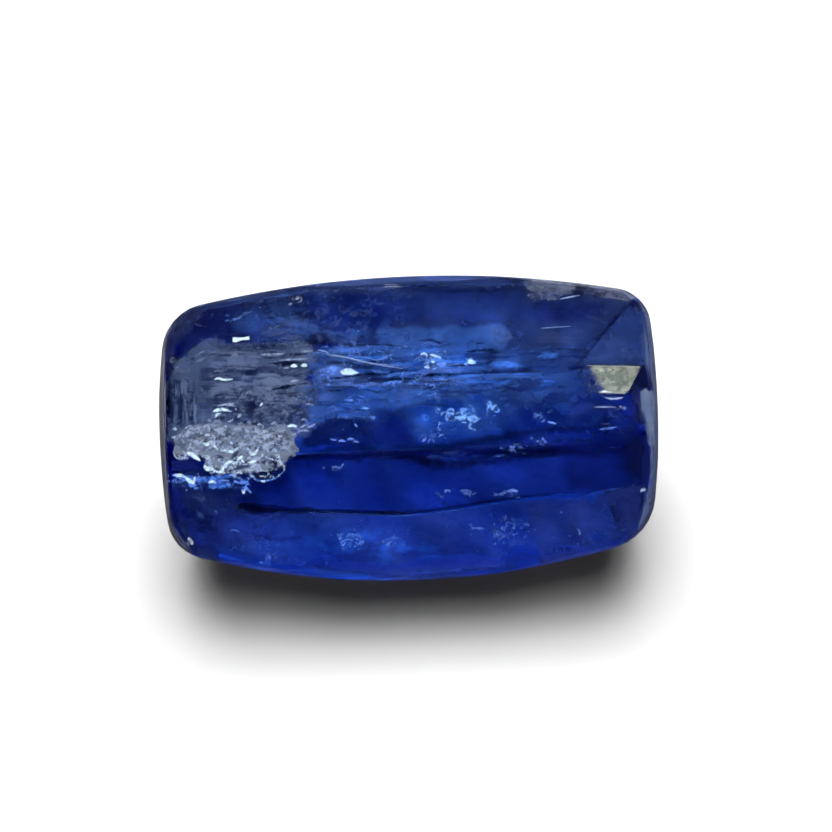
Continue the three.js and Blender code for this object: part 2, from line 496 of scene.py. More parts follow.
hazeSheets = {
    # Deep haze: painted light in the bright middle cloud and lower band, painted shade in the dark band
    "deep_haze_light_and_shade": {
        "box": (166, 330, 652, 580), "pitch": 1.3, "depth": 0.90, "wave": 0.10, "seed": 11,
        "clouds": (
            # shape, raggedness in px, pattern and its two values, colour, cover
            (((306, 346, 4), (470, 346, 20), (548, 372, 24), (520, 440, 20), (306, 446, 8)), 6,
             "mottles", (0.10, 0.50), "royal", 0.80),
            ((356, 384, 44, 34, 0), 8, "mottles", (0.36, 0.60), "azure", 0.85),
            ((446, 399, 60, 30, 4), 8, "mottles", (0.20, 0.52), "azure", 0.92),
            ((456, 410, 34, 16, 4), 8, "mottles", (0.42, 0.64), "sky", 0.45),
            ((393, 430, 24, 26, 0), 10, "mottles", (0.05, 0.50), "deep", 0.85),
            (((322, 414, 8), (404, 416, 10), (424, 448, 6), (296, 450, 6), (298, 434, 8)), 8,
             "mottles", (-0.1, 0.48), "abyss", 0.80),
            (((500, 372, 30), (642, 362, 8), (646, 450, 10), (470, 446, 40)), 14,
             "mottles", (0.05, 0.50), "indigo", 0.90),
            (((176, 456, 8), (600, 450, 8), (650, 440, 10), (648, 484, 4), (590, 496, 4), (521, 500, 3),
              (415, 515, 3), (290, 511, 4), (176, 500, 8)), 3, "mottles", (-0.5, 0.4), "deep", 0.94),
            (((552, 440, 6), (652, 430, 6), (650, 484, 6), (560, 496, 16)), 10,
             "mottles", (-0.2, 0.45), "bandRight", 0.80),
            (((262, 513, 3), (294, 511, 2.5), (415, 515, 2.5), (521, 500, 2.5), (590, 496, 5), (600, 545, 30),
              (520, 570, 8), (410, 582, 6), (250, 566, 24)), 2, "mottles", (-0.2, 0.50), "lower", 0.90),
            (((168, 480, 4), (240, 484, 4), (238, 508, 3), (262, 513, 3), (300, 512, 30), (262, 580, 30),
              (190, 564, 4), (168, 530, 4)), 4, "mottles", (0.0, 0.55), "lowerLeft", 0.90),
            ((204, 503, 34, 12, 0), 8, "mottles", (0.0, 0.50), "marine", 0.75),
            (((521, 500, 10), (590, 496, 2.5), (648, 483, 4), (648, 540, 6), (540, 572, 10)), 3,
             "mottles", (-0.2, 0.60), "lowerRight", 0.88),
            ((322, 536, 50, 22, 0), 10, "mottles", (0.10, 0.55), "lowerBright", 0.75),
            ((374, 548, 90, 20, 0), 10, "mottles", (0.44, 0.74), "azure", 0.50),
            ((265, 546, 26, 10, 12), 8, "wisps", (0.20, 0.90), "lowerBright", 0.50),
            (((242, 492, 3), (262, 489, 12), (268, 513, 2), (239, 508, 3)), 4, "even", (0, 1), "ink", 0.45),
        ),
        # Dark strokes: painted shade along the facet lines of the dark band
        "strokes": (
            # corners, width, softness, raggedness, colour, cover
            (((296, 458), (345, 449), (395, 455), (440, 464), (490, 461), (560, 452), (600, 456)),
             9.0, 8.0, 0.6, "ink", 0.88),
            (((300, 455), (380, 452), (450, 449), (520, 446), (596, 443)), 6.0, 4.0, 0.5, "navy", 0.85),
            (((396, 447), (450, 446), (500, 438), (540, 431), (590, 429)), 8.0, 8.0, 0.6, "ink", 0.80),
            (((330, 510), (415, 512), (500, 501), (560, 493)), 4.0, 3.0, 0.4, "ink", 0.60),
            (((250, 534), (275, 540), (300, 538)), 4.0, 4.0, 0.6, "navy", 0.75),
        ),
    },
    # Middle haze: painted shade in the dark upper part, painted glow and brighter blue below, fine fibres
    "middle_haze_light_and_shade": {
        "box": (166, 280, 652, 446), "pitch": 1.3, "depth": 0.45, "wave": 0.05, "seed": 31,
        "clouds": (
            (((168, 300, 6), (300, 282, 4), (560, 280, 4), (640, 298, 6), (577, 366, 8), (545, 372, 6),
              (318, 346, 8), (180, 420, 20)), 6, "mottles", (-0.4, 0.50), "slate", 0.88),
            (((410, 287, 8), (560, 287, 8), (606, 320, 12), (540, 326, 10), (430, 324, 8)), 8,
             "mottles", (0.05, 0.55), "marine", 0.75),
            (((530, 296, 10), (606, 300, 8), (604, 326, 8), (536, 328, 8)), 8,
             "mottles", (0.10, 0.50), "navy", 0.70),
            (((172, 302, 6), (250, 294, 12), (256, 343, 10), (172, 372, 12)), 8,
             "mottles", (-0.1, 0.45), "navy", 0.85),
            ((246, 323, 18, 13, 10), 8, "mottles", (0.20, 0.55), "haze", 0.45),
            ((298, 308, 38, 14, 0), 8, "mottles", (0.25, 0.50), "night", 0.80),
            ((354, 318, 46, 24, 0), 8, "mottles", (0.28, 0.55), "navy", 0.85),
            ((318, 339, 16, 7, 0), 6, "mottles", (0.15, 0.45), "night", 0.85),
            ((356, 335, 17, 8, 0), 6, "mottles", (0.15, 0.50), "night", 0.70),
            ((292, 324, 26, 9, 8), 8, "streaks", (0.40, 0.60), "dusk", 0.75),
            (((372, 334, 3), (392, 306, 6), (398, 310, 6), (384, 338, 4)), 4, "even", (0, 1), "haze", 0.55),
            (((196, 336, 10), (300, 314, 14), (308, 344, 6), (200, 356, 10)), 8,
             "streaks", (0.44, 0.62), "dusk", 0.90),
            (((376, 328, 6), (500, 321, 3), (514, 334, 2), (506, 352, 4), (376, 352, 6)), 5,
             "mottles", (0.05, 0.50), "haze", 0.85),
            (((488, 322, 6), (512, 328, 2), (515, 340, 3), (500, 347, 4), (486, 340, 8)), 5,
             "mottles", (0.15, 0.50), "dusk", 0.75),
            (((536, 326, 8), (588, 324, 4), (584, 346, 6), (536, 354, 8)), 6,
             "streaks", (0.40, 0.62), "dusk", 0.40),
            (((262, 292, 8), (410, 288, 8), (412, 344, 8), (306, 346, 4), (262, 330, 8)), 8,
             "wisps", (0.40, 0.95), "haze", 0.40),
            (((300, 292, 8), (436, 290, 8), (426, 324, 8), (372, 330, 8), (306, 326, 6)), 8,
             "mottles", (-0.1, 0.50), "upper", 0.70),
            ((352, 308, 66, 16, 0), 10, "mottles", (0.0, 0.50), "abyss", 0.45),
            (((430, 326, 8), (506, 324, 4), (508, 346, 6), (430, 350, 8)), 6,
             "mottles", (0.05, 0.55), "cobalt", 0.60),
            (((308, 344, 3), (400, 344, 16), (440, 372, 12), (308, 396, 10)), 4,
             "streaks", (0.20, 0.62), "haze", 0.80),
            (((318, 348, 3), (404, 348, 16), (430, 368, 12), (318, 374, 10)), 6,
             "fibres", (0.44, 0.62), "sky", 0.60),
            (((404, 346, 8), (480, 350, 10), (500, 372, 8), (404, 376, 6)), 6,
             "streaks", (0.40, 0.62), "azure", 0.75),
            (((306, 344, 4), (506, 346, 8), (516, 366, 10), (506, 406, 16), (310, 410, 14)), 8,
             "mottles", (0.10, 0.58), "cobalt", 0.85),
            (((496, 346, 8), (604, 340, 6), (600, 366, 8), (578, 406, 14), (496, 412, 14)), 8,
             "mottles", (0.0, 0.55), "denim", 0.75),
            (((310, 350, 10), (340, 350, 10), (338, 412, 10), (312, 412, 10)), 8,
             "streaks", (0.30, 0.60), "hazeLight", 0.55),
            ((334, 375, 28, 15, 0), 7, "mottles", (0.05, 0.55), "hazeLight", 0.62),
            ((396, 398, 58, 14, 0), 8, "mottles", (0.15, 0.55), "hazeBlue", 0.55),
            (((340, 348, 6), (560, 350, 8), (556, 394, 8), (352, 396, 8)), 8,
             "streaks", (0.50, 0.64), "sky", 0.65),
            (((340, 348, 6), (600, 346, 8), (586, 402, 8), (352, 404, 8)), 8,
             "streaks", (0.54, 0.66), "navy", 0.60),
            (((323, 378, 3), (382, 376, 4), (383, 388, 3), (323, 389, 3)), 3,
             "mottles", (-0.1, 0.5), "hazeGrey", 0.85),
            (((390, 382, 6), (430, 376, 6), (424, 392, 8), (392, 404, 8)), 6,
             "mottles", (0.1, 0.5), "hazeGrey", 0.60),
            (((512, 378, 4), (544, 377, 3), (543, 392, 5), (520, 390, 8)), 4,
             "mottles", (0.20, 0.60), "slate", 0.80),
            (((571, 368, 8), (600, 366, 10), (632, 396, 12), (626, 424, 20), (560, 424, 20)), 10,
             "mottles", (0.30, 0.60), "marine", 0.75),
            (((326, 396, 8), (378, 396, 8), (374, 422, 6), (330, 420, 8)), 6,
             "streaks", (0.46, 0.60), "hazeBlue", 0.85),
        ),
        "strokes": (
            (((404, 352), (430, 347), (452, 344)), 3.0, 3.0, 0.6, "navy", 0.60),
            (((586, 315), (598, 319), (607, 323)), 3.0, 2.5, 0.6, "dusk", 0.50),
            (((180, 392), (181, 405), (180, 419)), 5.0, 2.0, 0.8, "night", 0.85),
        ),
        "curls": (
            # box, how many, smallest and largest radius, width, colour, cover
            ((262, 294, 412, 344), 60, (1.6, 5.0), 1.6, "haze", 0.45),
            ((262, 294, 412, 344), 50, (1.6, 5.0), 1.8, "night", 0.65),
            ((306, 306, 370, 342), 30, (2.0, 5.5), 1.6, "dusk", 0.60),
            ((268, 296, 330, 326), 22, (2.0, 5.0), 1.8, "ink", 0.55),
            ((340, 300, 410, 340), 16, (2.0, 6.0), 1.8, "navy", 0.60),
            ((380, 326, 512, 350), 26, (2.0, 6.0), 1.6, "slate", 0.50),
            ((540, 296, 606, 330), 18, (2.0, 6.0), 1.6, "slate", 0.50),
        ),
    },
    # Surface haze: painted reflections in the grey rims, painted shade along the top edge, corners and lines
    "surface_haze_and_painted_rims": {
        "box": (156, 272, 660, 584), "pitch": 1.3, "depth": 0.12, "wave": 0.02, "seed": 71,
        "clouds": (
            (((150, 316, 2), (176, 312, 1.5), (166, 350, 1.2), (166.5, 440, 1.2), (171, 520, 1.5), (196, 560, 3),
              (150, 560, 2)), 1.0, "combed", (-0.6, 0.60), "ash", 0.97),
            (((634, 290, 3), (668, 340, 2), (668, 480, 2), (656, 560, 2), (612, 560, 3), (636, 530, 2),
              (645, 500, 1.5), (650, 470, 1.5), (651, 389, 3), (642, 354, 5), (640, 316, 5)), 1.2,
             "combed", (-0.6, 0.60), "rim", 0.97),
            (((160, 318, 2), (330, 268, 2), (420, 262, 2), (560, 266, 2), (644, 288, 2), (640, 303, 2),
              (560, 289, 3), (420, 286, 3), (330, 291, 3), (200, 312, 3)), 2,
             "streaks", (-0.4, 0.45), "slate", 0.97),
            (((250, 296, 3), (330, 280, 2), (400, 279, 2), (400, 286, 3), (330, 292, 3), (250, 304, 3)), 3,
             "streaks", (0.44, 0.64), "dusk", 0.55),
            (((172, 312, 3), (230, 290, 2), (330, 266, 2), (420, 260, 2), (540, 264, 2), (540, 283, 2),
              (420, 284, 2), (330, 288, 2), (240, 301, 3), (190, 316, 3)), 1.5,
             "streaks", (-0.3, 0.50), "topRim", 0.95),
            (((530, 262, 3), (640, 282, 2), (648, 296, 3), (636, 298, 3), (600, 289, 3), (560, 284, 3),
              (530, 281, 3)), 1.5, "streaks", (-0.2, 0.55), "topRimGrey", 0.88),
            (((165, 328, 2), (186, 306, 3), (222, 298, 6), (196, 330, 8), (180, 348, 6), (176, 372, 4),
              (167, 380, 2)), 3, "mottles", (-0.2, 0.50), "shade", 0.85),
            (((642, 436, 4), (651, 436, 1.5), (651, 480, 1.5), (646, 500, 2), (638, 516, 4), (640, 470, 4)), 2,
             "mottles", (-0.4, 0.45), "navy", 0.85),
            (((172, 500, 2), (180, 506, 6), (196, 540, 6), (226, 560, 6), (214, 566, 2), (186, 548, 2)), 2,
             "mottles", (-0.2, 0.50), "topRim", 0.80),
            (((405, 276, 2), (522, 276, 2), (522, 286, 2), (405, 286, 3)), 3,
             "streaks", (0.30, 0.60), "slate", 0.75),
            (((530, 276, 4), (600, 282, 3), (640, 296, 3), (630, 304, 3), (580, 292, 3), (530, 288, 3)), 3,
             "streaks", (0.0, 0.55), "ashBlue", 0.92),
            (((630, 304, 1.5), (645, 312, 4), (648, 366, 2), (577, 365, 1.5)), 1,
             "mottles", (-0.6, 0.60), "slate", 0.90),
            ((610, 350, 28, 14, 0), 6, "mottles", (0.15, 0.60), "hazeGrey", 0.60),
            (((521, 281, 3), (560, 281, 2), (578, 288, 4), (556, 302, 3), (532, 300, 3)), 7,
             "crumbs", (0.26, 0.62), "grey", 0.78),
            (((526, 283, 3), (562, 283, 2), (572, 290, 4), (556, 300, 3), (534, 298, 3)), 6,
             "crumbs", (0.50, 0.62), "shade", 0.85),
            (((572, 284, 3), (604, 290, 4), (626, 298, 4), (600, 300, 4), (572, 298, 3)), 6,
             "crumbs", (0.46, 0.60), "ink", 0.85),
            (((628, 396, 3), (634, 382, 2), (642, 386, 2), (643, 424, 6), (626, 420, 12)), 2,
             "mottles", (-0.4, 0.55), "shade", 0.85),
            (((622, 414, 12), (642, 410, 4), (645, 436, 3), (650, 470, 4), (640, 484, 10), (618, 470, 14)), 3,
             "mottles", (-0.4, 0.50), "night", 0.60),
            (((640, 366, 1.5), (646, 365.5, 1.2), (651, 389, 1.2), (642, 389, 2), (631, 386, 2)), 1,
             "mottles", (-0.4, 0.5), "night", 0.95),
            (((640, 391, 1.2), (645, 389.4, 1.2), (652, 390, 1.5), (656, 400, 1.5), (654, 430, 2),
              (651.5, 456, 3), (646, 440, 6), (641, 414, 2), (639.5, 400, 1.5)), 1,
             "mottles", (-0.9, 0.60), "mist", 0.95),
            (((641, 391, 1.5), (645, 390, 1.2), (651, 391, 2), (651, 404, 10), (641, 404, 10)), 1,
             "mottles", (-0.2, 0.60), "stone", 0.35),
            (((330, 569, 4), (560, 562, 5), (546, 574, 2), (416, 582, 2), (300, 576, 3)), 2,
             "streaks", (0.35, 0.62), "marine", 0.45),
        ),
        "strokes": (
            (((165, 326), (164.2, 360), (164.4, 400), (165, 440), (167, 480), (170.5, 520)),
             1.8, 1.4, 0.6, "stone", 0.85),
            (((173, 330), (169.5, 360), (168.5, 400), (168.5, 440)), 1.8, 1.6, 0.8, "night", 0.80),
            (((169, 462), (171, 490), (175, 515), (183, 535)), 2.4, 2.0, 0.8, "night", 0.75),
            (((631, 303), (607, 329), (590, 350), (577, 366)), 1.8, 1.4, 0.4, "ink", 0.80),
            (((286, 298), (296, 296), (306, 296)), 2.4, 1.4, 1.0, "ink", 0.85),
            (((412, 290), (430, 291), (470, 291), (524, 289)), 2.2, 2.2, 1.0, "navy", 0.60),
            (((572, 284), (588, 289), (602, 297)), 4.4, 2.0, 1.0, "ink", 0.85),
            (((291, 511), (350, 514), (415, 515), (470, 508), (521, 500)), 1.6, 1.6, 0.8, "haze", 0.60),
            (((584, 495), (612, 490), (638, 483)), 1.6, 1.6, 0.8, "haze", 0.50),
            (((380, 287), (392, 286.5), (402, 287)), 1.6, 1.2, 1.0, "milk", 0.60),
            (((288, 571), (316, 572), (346, 574)), 2.0, 1.6, 1.0, "haze", 0.50),
            (((640, 492), (643, 490), (646, 491)), 2.4, 1.2, 1.0, "milk", 0.90),
            (((642, 390.6), (645.4, 389.6), (648.6, 390.6)), 1.8, 1.2, 0.6, "stone", 0.85),
            (((651.6, 404), (652.8, 424), (653.4, 448), (653.6, 470)), 1.6, 1.4, 0.8, "ashBlue", 0.75),
            (((188, 538), (191, 541), (192, 545)), 2.4, 1.2, 1.0, "white", 0.90),
            (((186, 543), (189, 545)), 2.0, 1.0, 1.0, "milk", 0.90),
        ),
        "curls": (
            ((290, 296, 306, 304), 5, (1.0, 2.6), 1.2, "milk", 0.75),
            ((312, 309, 322, 319), 4, (1.5, 2.8), 1.2, "dusk", 0.80),
            ((524, 283, 574, 300), 22, (1.2, 3.0), 1.3, "stone", 0.60),
            ((256, 292, 412, 312), 30, (1.4, 4.0), 1.3, "haze", 0.35),
            ((176, 496, 240, 516), 24, (1.4, 4.0), 1.3, "dusk", 0.45),
            ((200, 306, 262, 340), 26, (1.4, 4.0), 1.3, "haze", 0.45),
            ((576, 286, 626, 300), 14, (1.2, 3.0), 1.3, "ashBlue", 0.60),
            ((256, 285, 400, 291), 16, (1.2, 3.0), 1.2, "dusk", 0.50),
            ((170, 310, 200, 372), 10, (2.0, 5.0), 1.4, "slate", 0.60),
            ((166, 360, 186, 372), 8, (2.0, 4.5), 1.4, "stone", 0.60),
        ),
    },
    # Painted light: the bright cream trapezoid at the right end and the bright slits below, with dark edge lines
    "painted_window_light": {
        "box": (560, 356, 654, 456), "pitch": 0.8, "depth": 0.16, "wave": 0.01, "seed": 91,
        "clouds": (
            (((585, 364.5, 1.2), (641.5, 365.5, 1.2), (625.5, 394.5, 1.2), (600, 393.5, 9)), 1.2,
             "streaks", (-0.5, 0.30), "cream", 0.98),
            (((588, 366, 1.2), (641, 366.5, 1.2), (627, 392, 1.2), (600, 391, 4)), 1.2,
             "crumbs", (0.48, 0.62), "creamDark", 0.60),
            (((588, 366, 1.2), (641, 366.5, 1.2), (627, 392, 1.2), (600, 391, 4)), 1.2,
             "streaks", (0.52, 0.64), "creamLight", 0.50),
            (((588, 368, 1.2), (639, 368.5, 1.2), (627, 390, 1.2), (600, 389, 4)), 1.2,
             "grit", (0.58, 0.68), "creamDark", 0.70),
            (((578, 369, 3), (594, 369, 6), (608, 388, 6), (602, 396, 4), (588, 392, 4)), 9,
             "crumbs", (0.38, 0.50), "slate", 0.90),
            (((584, 372, 4), (600, 374, 6), (610, 392, 5), (590, 394, 4)), 8,
             "crumbs", (0.52, 0.62), "navy", 0.85),
            (((621.4, 367.6, 1), (624.4, 368, 1), (622.6, 373, 1), (619.4, 375, 1)), 0.8,
             "even", (0, 1), "creamDark", 0.90),
        ),
        "strokes": (
            (((583, 363.3), (612, 363.6), (642, 364.8)), 2.0, 1.0, 0.4, "ink", 0.90),
            (((587, 365.6), (612, 366), (640, 367)), 1.5, 0.9, 0.5, "creamLight", 0.85),
            (((642, 366), (634, 380), (627, 393)), 1.4, 0.9, 0.4, "creamLight", 0.70),
            (((644, 367), (636, 381), (628, 396)), 2.0, 1.0, 0.4, "ink", 0.85),
            (((599, 392), (606, 391.5), (614, 392.5)), 1.8, 0.9, 0.8, "white", 0.85),
            (((606, 395.3), (616, 395), (626, 395.3)), 1.6, 0.9, 0.5, "ink", 0.90),
            (((605, 397.6), (613, 398.8), (623, 397.6)), 2.6, 1.0, 0.7, "milk", 0.95),
            (((594, 407), (604, 407), (616, 407)), 1.4, 0.8, 0.7, "milk", 0.90),
            (((599, 429.5), (608, 428.6), (618, 426.6)), 2.2, 1.1, 0.6, "hazeLight", 0.95),
            (((601, 424), (606, 423.6), (611, 425)), 1.8, 1.2, 0.9, "dusk", 0.85),
        ),
        "curls": (
            ((617, 404, 624, 409), 4, (0.8, 2.0), 1.2, "milk", 0.85),
            ((600, 410, 622, 426), 9, (0.8, 2.6), 1.1, "dusk", 0.60),
            ((584, 372, 606, 393), 16, (0.8, 2.6), 1.1, "grey", 0.70),
            ((594, 442, 614, 455), 6, (0.8, 2.2), 1.1, "dusk", 0.60),
            ((566, 360, 584, 372), 7, (0.8, 2.2), 1.1, "dusk", 0.70),
            ((604, 368, 634, 392), 14, (1.0, 3.2), 1.0, "creamDark", 0.70),
        ),
    },
    "left_veil": {
        "box": (160, 296, 346, 500), "pitch": 0.8, "depth": 0.20, "wave": 0.015, "seed": 131,
        "clouds": (
            (((167, 358, 8), (206, 339, 8), (262, 343, 8), (308, 338, 4), (328, 352, 20), (322, 400, 22),
              (318, 437, 12), (168, 440, 3)), 14, "fibres", (-0.1, 0.42), "veil", 0.94),
            (((206, 350, 8), (300, 346, 8), (304, 420, 8), (206, 424, 8)), 8,
             "mottles", (0.44, 0.62), "mist", 0.70),
            (((206, 350, 8), (306, 346, 14), (306, 424, 8), (206, 424, 8)), 12,
             "mottles", (0.54, 0.66), "shade", 0.60),
            (((205, 346, 8), (313, 338, 6), (320, 362, 16), (316, 404, 8), (262, 412, 8), (205, 405, 8)), 12,
             "streaks", (0.46, 0.60), "mist", 0.80),
            (((200, 346, 8), (313, 340, 14), (318, 425, 8), (262, 422, 8), (200, 420, 8)), 12,
             "fibres", (0.52, 0.62), "shade", 0.75),
            ((262, 349, 22, 6, -3), 5, "fibres", (0.30, 0.55), "shade", 0.80),
            (((167, 374, 4), (196, 380, 10), (204, 430, 10), (167, 432, 2)), 6,
             "combed", (0.30, 0.52), "night", 0.85),
            (((170, 380, 4), (204, 384, 10), (208, 430, 10), (170, 430, 4)), 6,
             "combed", (0.56, 0.66), "mist", 0.80),
            ((250, 373, 9, 4, -8), 4, "mottles", (0.1, 0.4), "night", 0.85),
            (((214, 392, 8), (318, 384, 14), (318, 428, 6), (262, 426, 4), (214, 420, 8)), 10,
             "crumbs", (0.48, 0.62), "shade", 0.80),
            ((252, 406, 10, 6, 0), 4, "crumbs", (0.2, 0.45), "night", 0.80),
            (((302, 346, 8), (336, 346, 12), (332, 428, 10), (304, 430, 10)), 10,
             "streaks", (0.34, 0.60), "haze", 0.80),
            (((172, 434, 3), (206, 424, 3), (215, 421, 2), (236, 424, 3), (262, 428, 3), (277, 424, 2),
              (299, 432, 1.5), (299, 452, 1.5), (288, 457, 3), (286, 469, 3), (262, 474, 3), (214, 470, 3),
              (200, 460, 3), (172, 453, 2)), 7, "crumbs", (-0.4, 0.40), "stone", 0.97),
            (((176, 432, 3), (208, 424, 3), (296, 430, 3), (296, 452, 3), (176, 452, 3)), 5,
             "grit", (0.52, 0.62), "milk", 0.70),
            (((176, 432, 3), (208, 424, 3), (296, 430, 3), (296, 452, 3), (176, 452, 3)), 5,
             "grit", (0.56, 0.66), "grey", 0.85),
            (((176, 432, 3), (208, 424, 3), (296, 430, 3), (296, 452, 3), (176, 452, 3)), 5,
             "crumbs", (0.54, 0.66), "milk", 0.60),
            (((176, 432, 3), (208, 424, 3), (296, 430, 3), (296, 452, 3), (176, 452, 3)), 5,
             "grit", (0.60, 0.70), "shade", 0.70),
            (((174, 434, 3), (206, 430, 3), (212, 448, 3), (200, 456, 3), (174, 452, 3)), 5,
             "crumbs", (0.40, 0.58), "grey", 0.85),
            (((208, 424, 3), (296, 430, 3), (296, 448, 3), (230, 446, 3), (208, 440, 3)), 5,
             "mottles", (0.50, 0.64), "grey", 0.70),
            (((214, 452, 3), (280, 452, 3), (286, 470, 3), (262, 481, 2), (246, 481, 2), (222, 474, 3)), 6,
             "crumbs", (0.44, 0.58), "shade", 0.88),
            (((204, 456, 3), (280, 455, 3), (284, 470, 3), (250, 478, 2), (204, 472, 3)), 6,
             "crumbs", (0.58, 0.68), "milk", 0.85),
            (((172, 474, 2), (202, 474, 2), (232, 472, 3), (250, 480, 3), (250, 492, 3), (204, 490, 4),
              (172, 486, 3)), 5, "crumbs", (0.34, 0.58), "hazeBlue", 0.88),
            (((170, 461, 1.5), (197, 459.5, 2), (201, 472, 3), (171, 473, 1.5)), 3, "even", (0, 1), "navy", 0.94),
            (((231, 335.4, 1), (243, 336.2, 1), (249.5, 334.8, 1), (251, 341, 1), (243, 341.5, 1),
              (236, 343.6, 1), (230.5, 343, 1)), 1.2, "even", (0, 1), "night", 0.75),
            (((232, 336.4, 0.9), (243, 337.2, 0.9), (249, 335.8, 0.9), (249.6, 339.8, 0.9), (242, 340.2, 0.9),
              (236, 342.4, 0.9), (232, 341.8, 0.9)), 1.2, "even", (0, 1), "white", 1.0),
        ),
        "strokes": (
            # dark slits, then the bright lines, crests and spots between them
            (((264, 357.5), (274, 357.8), (284, 356.6)), 2.2, 1.0, 0.8, "ink", 0.95),
            (((282, 355.2), (296, 354.6), (308, 354)), 2.6, 1.0, 0.8, "ink", 0.95),
            (((274, 364), (284, 363.4), (299, 361.6)), 4.8, 1.2, 0.8, "ink", 0.97),
            (((241, 374), (249, 372.6), (258, 370)), 4.0, 2.0, 0.8, "night", 0.85),
            (((272, 389.6), (288, 386.6), (309, 382.6)), 3.8, 1.2, 0.9, "ink", 0.95),
            (((213, 376.4), (222, 375.6), (232, 376.4)), 1.8, 1.0, 0.8, "ink", 0.85),
            (((216, 382.4), (226, 382), (232, 381)), 1.6, 1.0, 0.8, "ink", 0.75),
            (((257, 347), (272, 345.6), (290, 346.4)), 2.6, 1.6, 1.0, "night", 0.80),
            (((213, 400), (216, 396), (222, 394)), 2.0, 1.4, 1.0, "shade", 0.80),
            (((212, 419), (224, 418), (234, 421)), 3.0, 1.4, 1.0, "night", 0.85),
            (((240, 421), (252, 424), (262, 423)), 3.4, 1.4, 1.0, "night", 0.85),
            (((170, 380), (169, 398), (169.4, 417)), 2.6, 1.2, 0.8, "ink", 0.90),
            (((180, 391), (181.4, 404), (180, 419)), 3.4, 1.6, 0.9, "ink", 0.80),
            (((184, 393), (187, 402), (186, 412)), 2.6, 1.4, 0.9, "night", 0.80),
            (((190, 417), (190.4, 409), (192.4, 402)), 2.2, 1.4, 0.8, "grey", 0.90),
            (((198, 386), (202, 390), (206, 396)), 1.8, 1.2, 0.9, "grey", 0.80),
            (((260, 354.6), (272, 354.2), (284, 353.8)), 1.5, 0.9, 0.7, "milk", 0.90),
            (((279, 360.4), (292, 359.2), (308, 358.6)), 1.7, 0.9, 0.7, "milk", 0.95),
            (((300, 351.6), (306, 351), (312, 350.6)), 1.7, 1.0, 0.8, "milk", 0.80),
            (((207, 357.4), (220, 353.8), (238, 353)), 1.4, 1.1, 0.9, "grey", 0.85),
            (((195, 356.6), (199, 353.4), (204, 351)), 1.9, 1.1, 0.8, "stone", 0.95),
            (((196, 361.6), (200, 360), (205, 357.6)), 1.9, 1.1, 0.8, "stone", 0.95),
            (((196, 346), (202, 343.4), (208, 342.6)), 1.7, 1.3, 0.8, "dusk", 0.85),
            (((231, 356), (234, 354.4), (238, 355)), 2.4, 1.3, 0.9, "stone", 0.80),
            (((214, 371.4), (218, 370), (223, 372)), 2.2, 1.3, 0.9, "stone", 0.85),
            (((214, 379.6), (218, 378.4), (224, 379.8), (232, 379.2)), 2.3, 0.9, 0.6, "white", 1.0),
            (((290.6, 366.2), (294, 365.8), (297, 366.2)), 3.6, 0.9, 0.3, "white", 1.0),
            (((301, 365.6), (304, 365.2), (307, 365.6)), 3.4, 0.9, 0.3, "white", 1.0),
            (((284, 368), (289, 367.6)), 1.6, 1.0, 0.8, "milk", 0.85),
            (((290, 381.4), (295, 380.6), (299, 380.4)), 1.7, 1.0, 0.8, "milk", 0.85),
            (((261, 386), (266, 384.6), (272, 384.4)), 2.2, 1.3, 0.9, "grey", 0.90),
            (((245, 395), (248, 391.8), (252, 391.4)), 2.2, 1.2, 0.9, "stone", 0.85),
            (((259.6, 406), (261.4, 404), (262.6, 403)), 2.2, 1.0, 0.8, "white", 0.90),
            (((213, 411.4), (220, 409.2), (231, 411.4)), 3.4, 1.0, 0.7, "white", 1.0),
            (((217, 406.2), (224, 404.4), (232, 405.4), (236, 407)), 1.9, 1.0, 0.8, "milk", 0.95),
            (((228, 402.8), (231, 404), (235, 403.4)), 1.5, 1.0, 0.8, "milk", 0.90),
            (((215, 417.4), (217, 414.6), (220.4, 414)), 2.6, 1.1, 0.6, "white", 0.95),
            (((237.4, 417.6), (239.4, 415.4), (241, 414.6)), 3.2, 1.2, 0.6, "milk", 0.95),
            (((287, 426.6), (292, 425.6), (296.6, 426.6)), 2.9, 0.9, 0.5, "white", 1.0),
            (((300, 427.6), (306, 425), (310, 426.6), (315, 424)), 1.8, 1.0, 0.8, "milk", 0.90),
            (((298, 431.6), (304, 430.4), (310, 431.4)), 1.7, 1.0, 0.8, "milk", 0.80),
            (((305, 404.8), (309, 404), (313, 405)), 1.9, 1.0, 0.8, "milk", 0.85),
            (((301, 420), (304, 419.4), (307, 420.6)), 1.6, 1.0, 0.8, "milk", 0.80),
            (((271, 424.4), (274, 422.4), (277, 424)), 1.9, 1.1, 0.8, "milk", 0.80),
            (((277, 429.6), (280, 431.4), (284, 432)), 1.9, 1.1, 0.8, "milk", 0.80),
            (((213, 422), (217, 421), (221, 423)), 1.9, 1.2, 0.8, "milk", 0.75),
            (((231, 429.4), (238, 428.8), (243, 431)), 1.7, 1.2, 0.8, "milk", 0.75),
            (((202, 443), (206, 444.6), (211, 442.6), (214, 446), (218, 450)), 3.0, 1.2, 0.8, "white", 0.95),
            (((221, 451.4), (226, 450), (232, 451.6), (239, 447)), 3.2, 1.2, 0.8, "white", 0.95),
            (((247, 448), (251, 453), (254, 453.4), (258, 449)), 3.2, 1.1, 0.6, "white", 1.0),
            (((266.6, 443), (266.4, 448), (268.6, 453)), 2.0, 1.2, 0.8, "milk", 0.90),
            (((173, 452), (176, 457.6), (181, 458.8), (185.6, 455), (182, 451)), 2.0, 1.2, 0.8, "milk", 0.95),
            (((187, 452.6), (190.4, 454.6), (196, 457.4), (200, 461)), 4.0, 1.3, 0.7, "white", 1.0),
            (((204, 465), (207, 468.6), (213, 469.4)), 4.6, 1.3, 0.7, "white", 1.0),
            (((213, 470), (219, 472.4), (223, 469), (227, 463.4), (231, 461.6), (237, 465)),
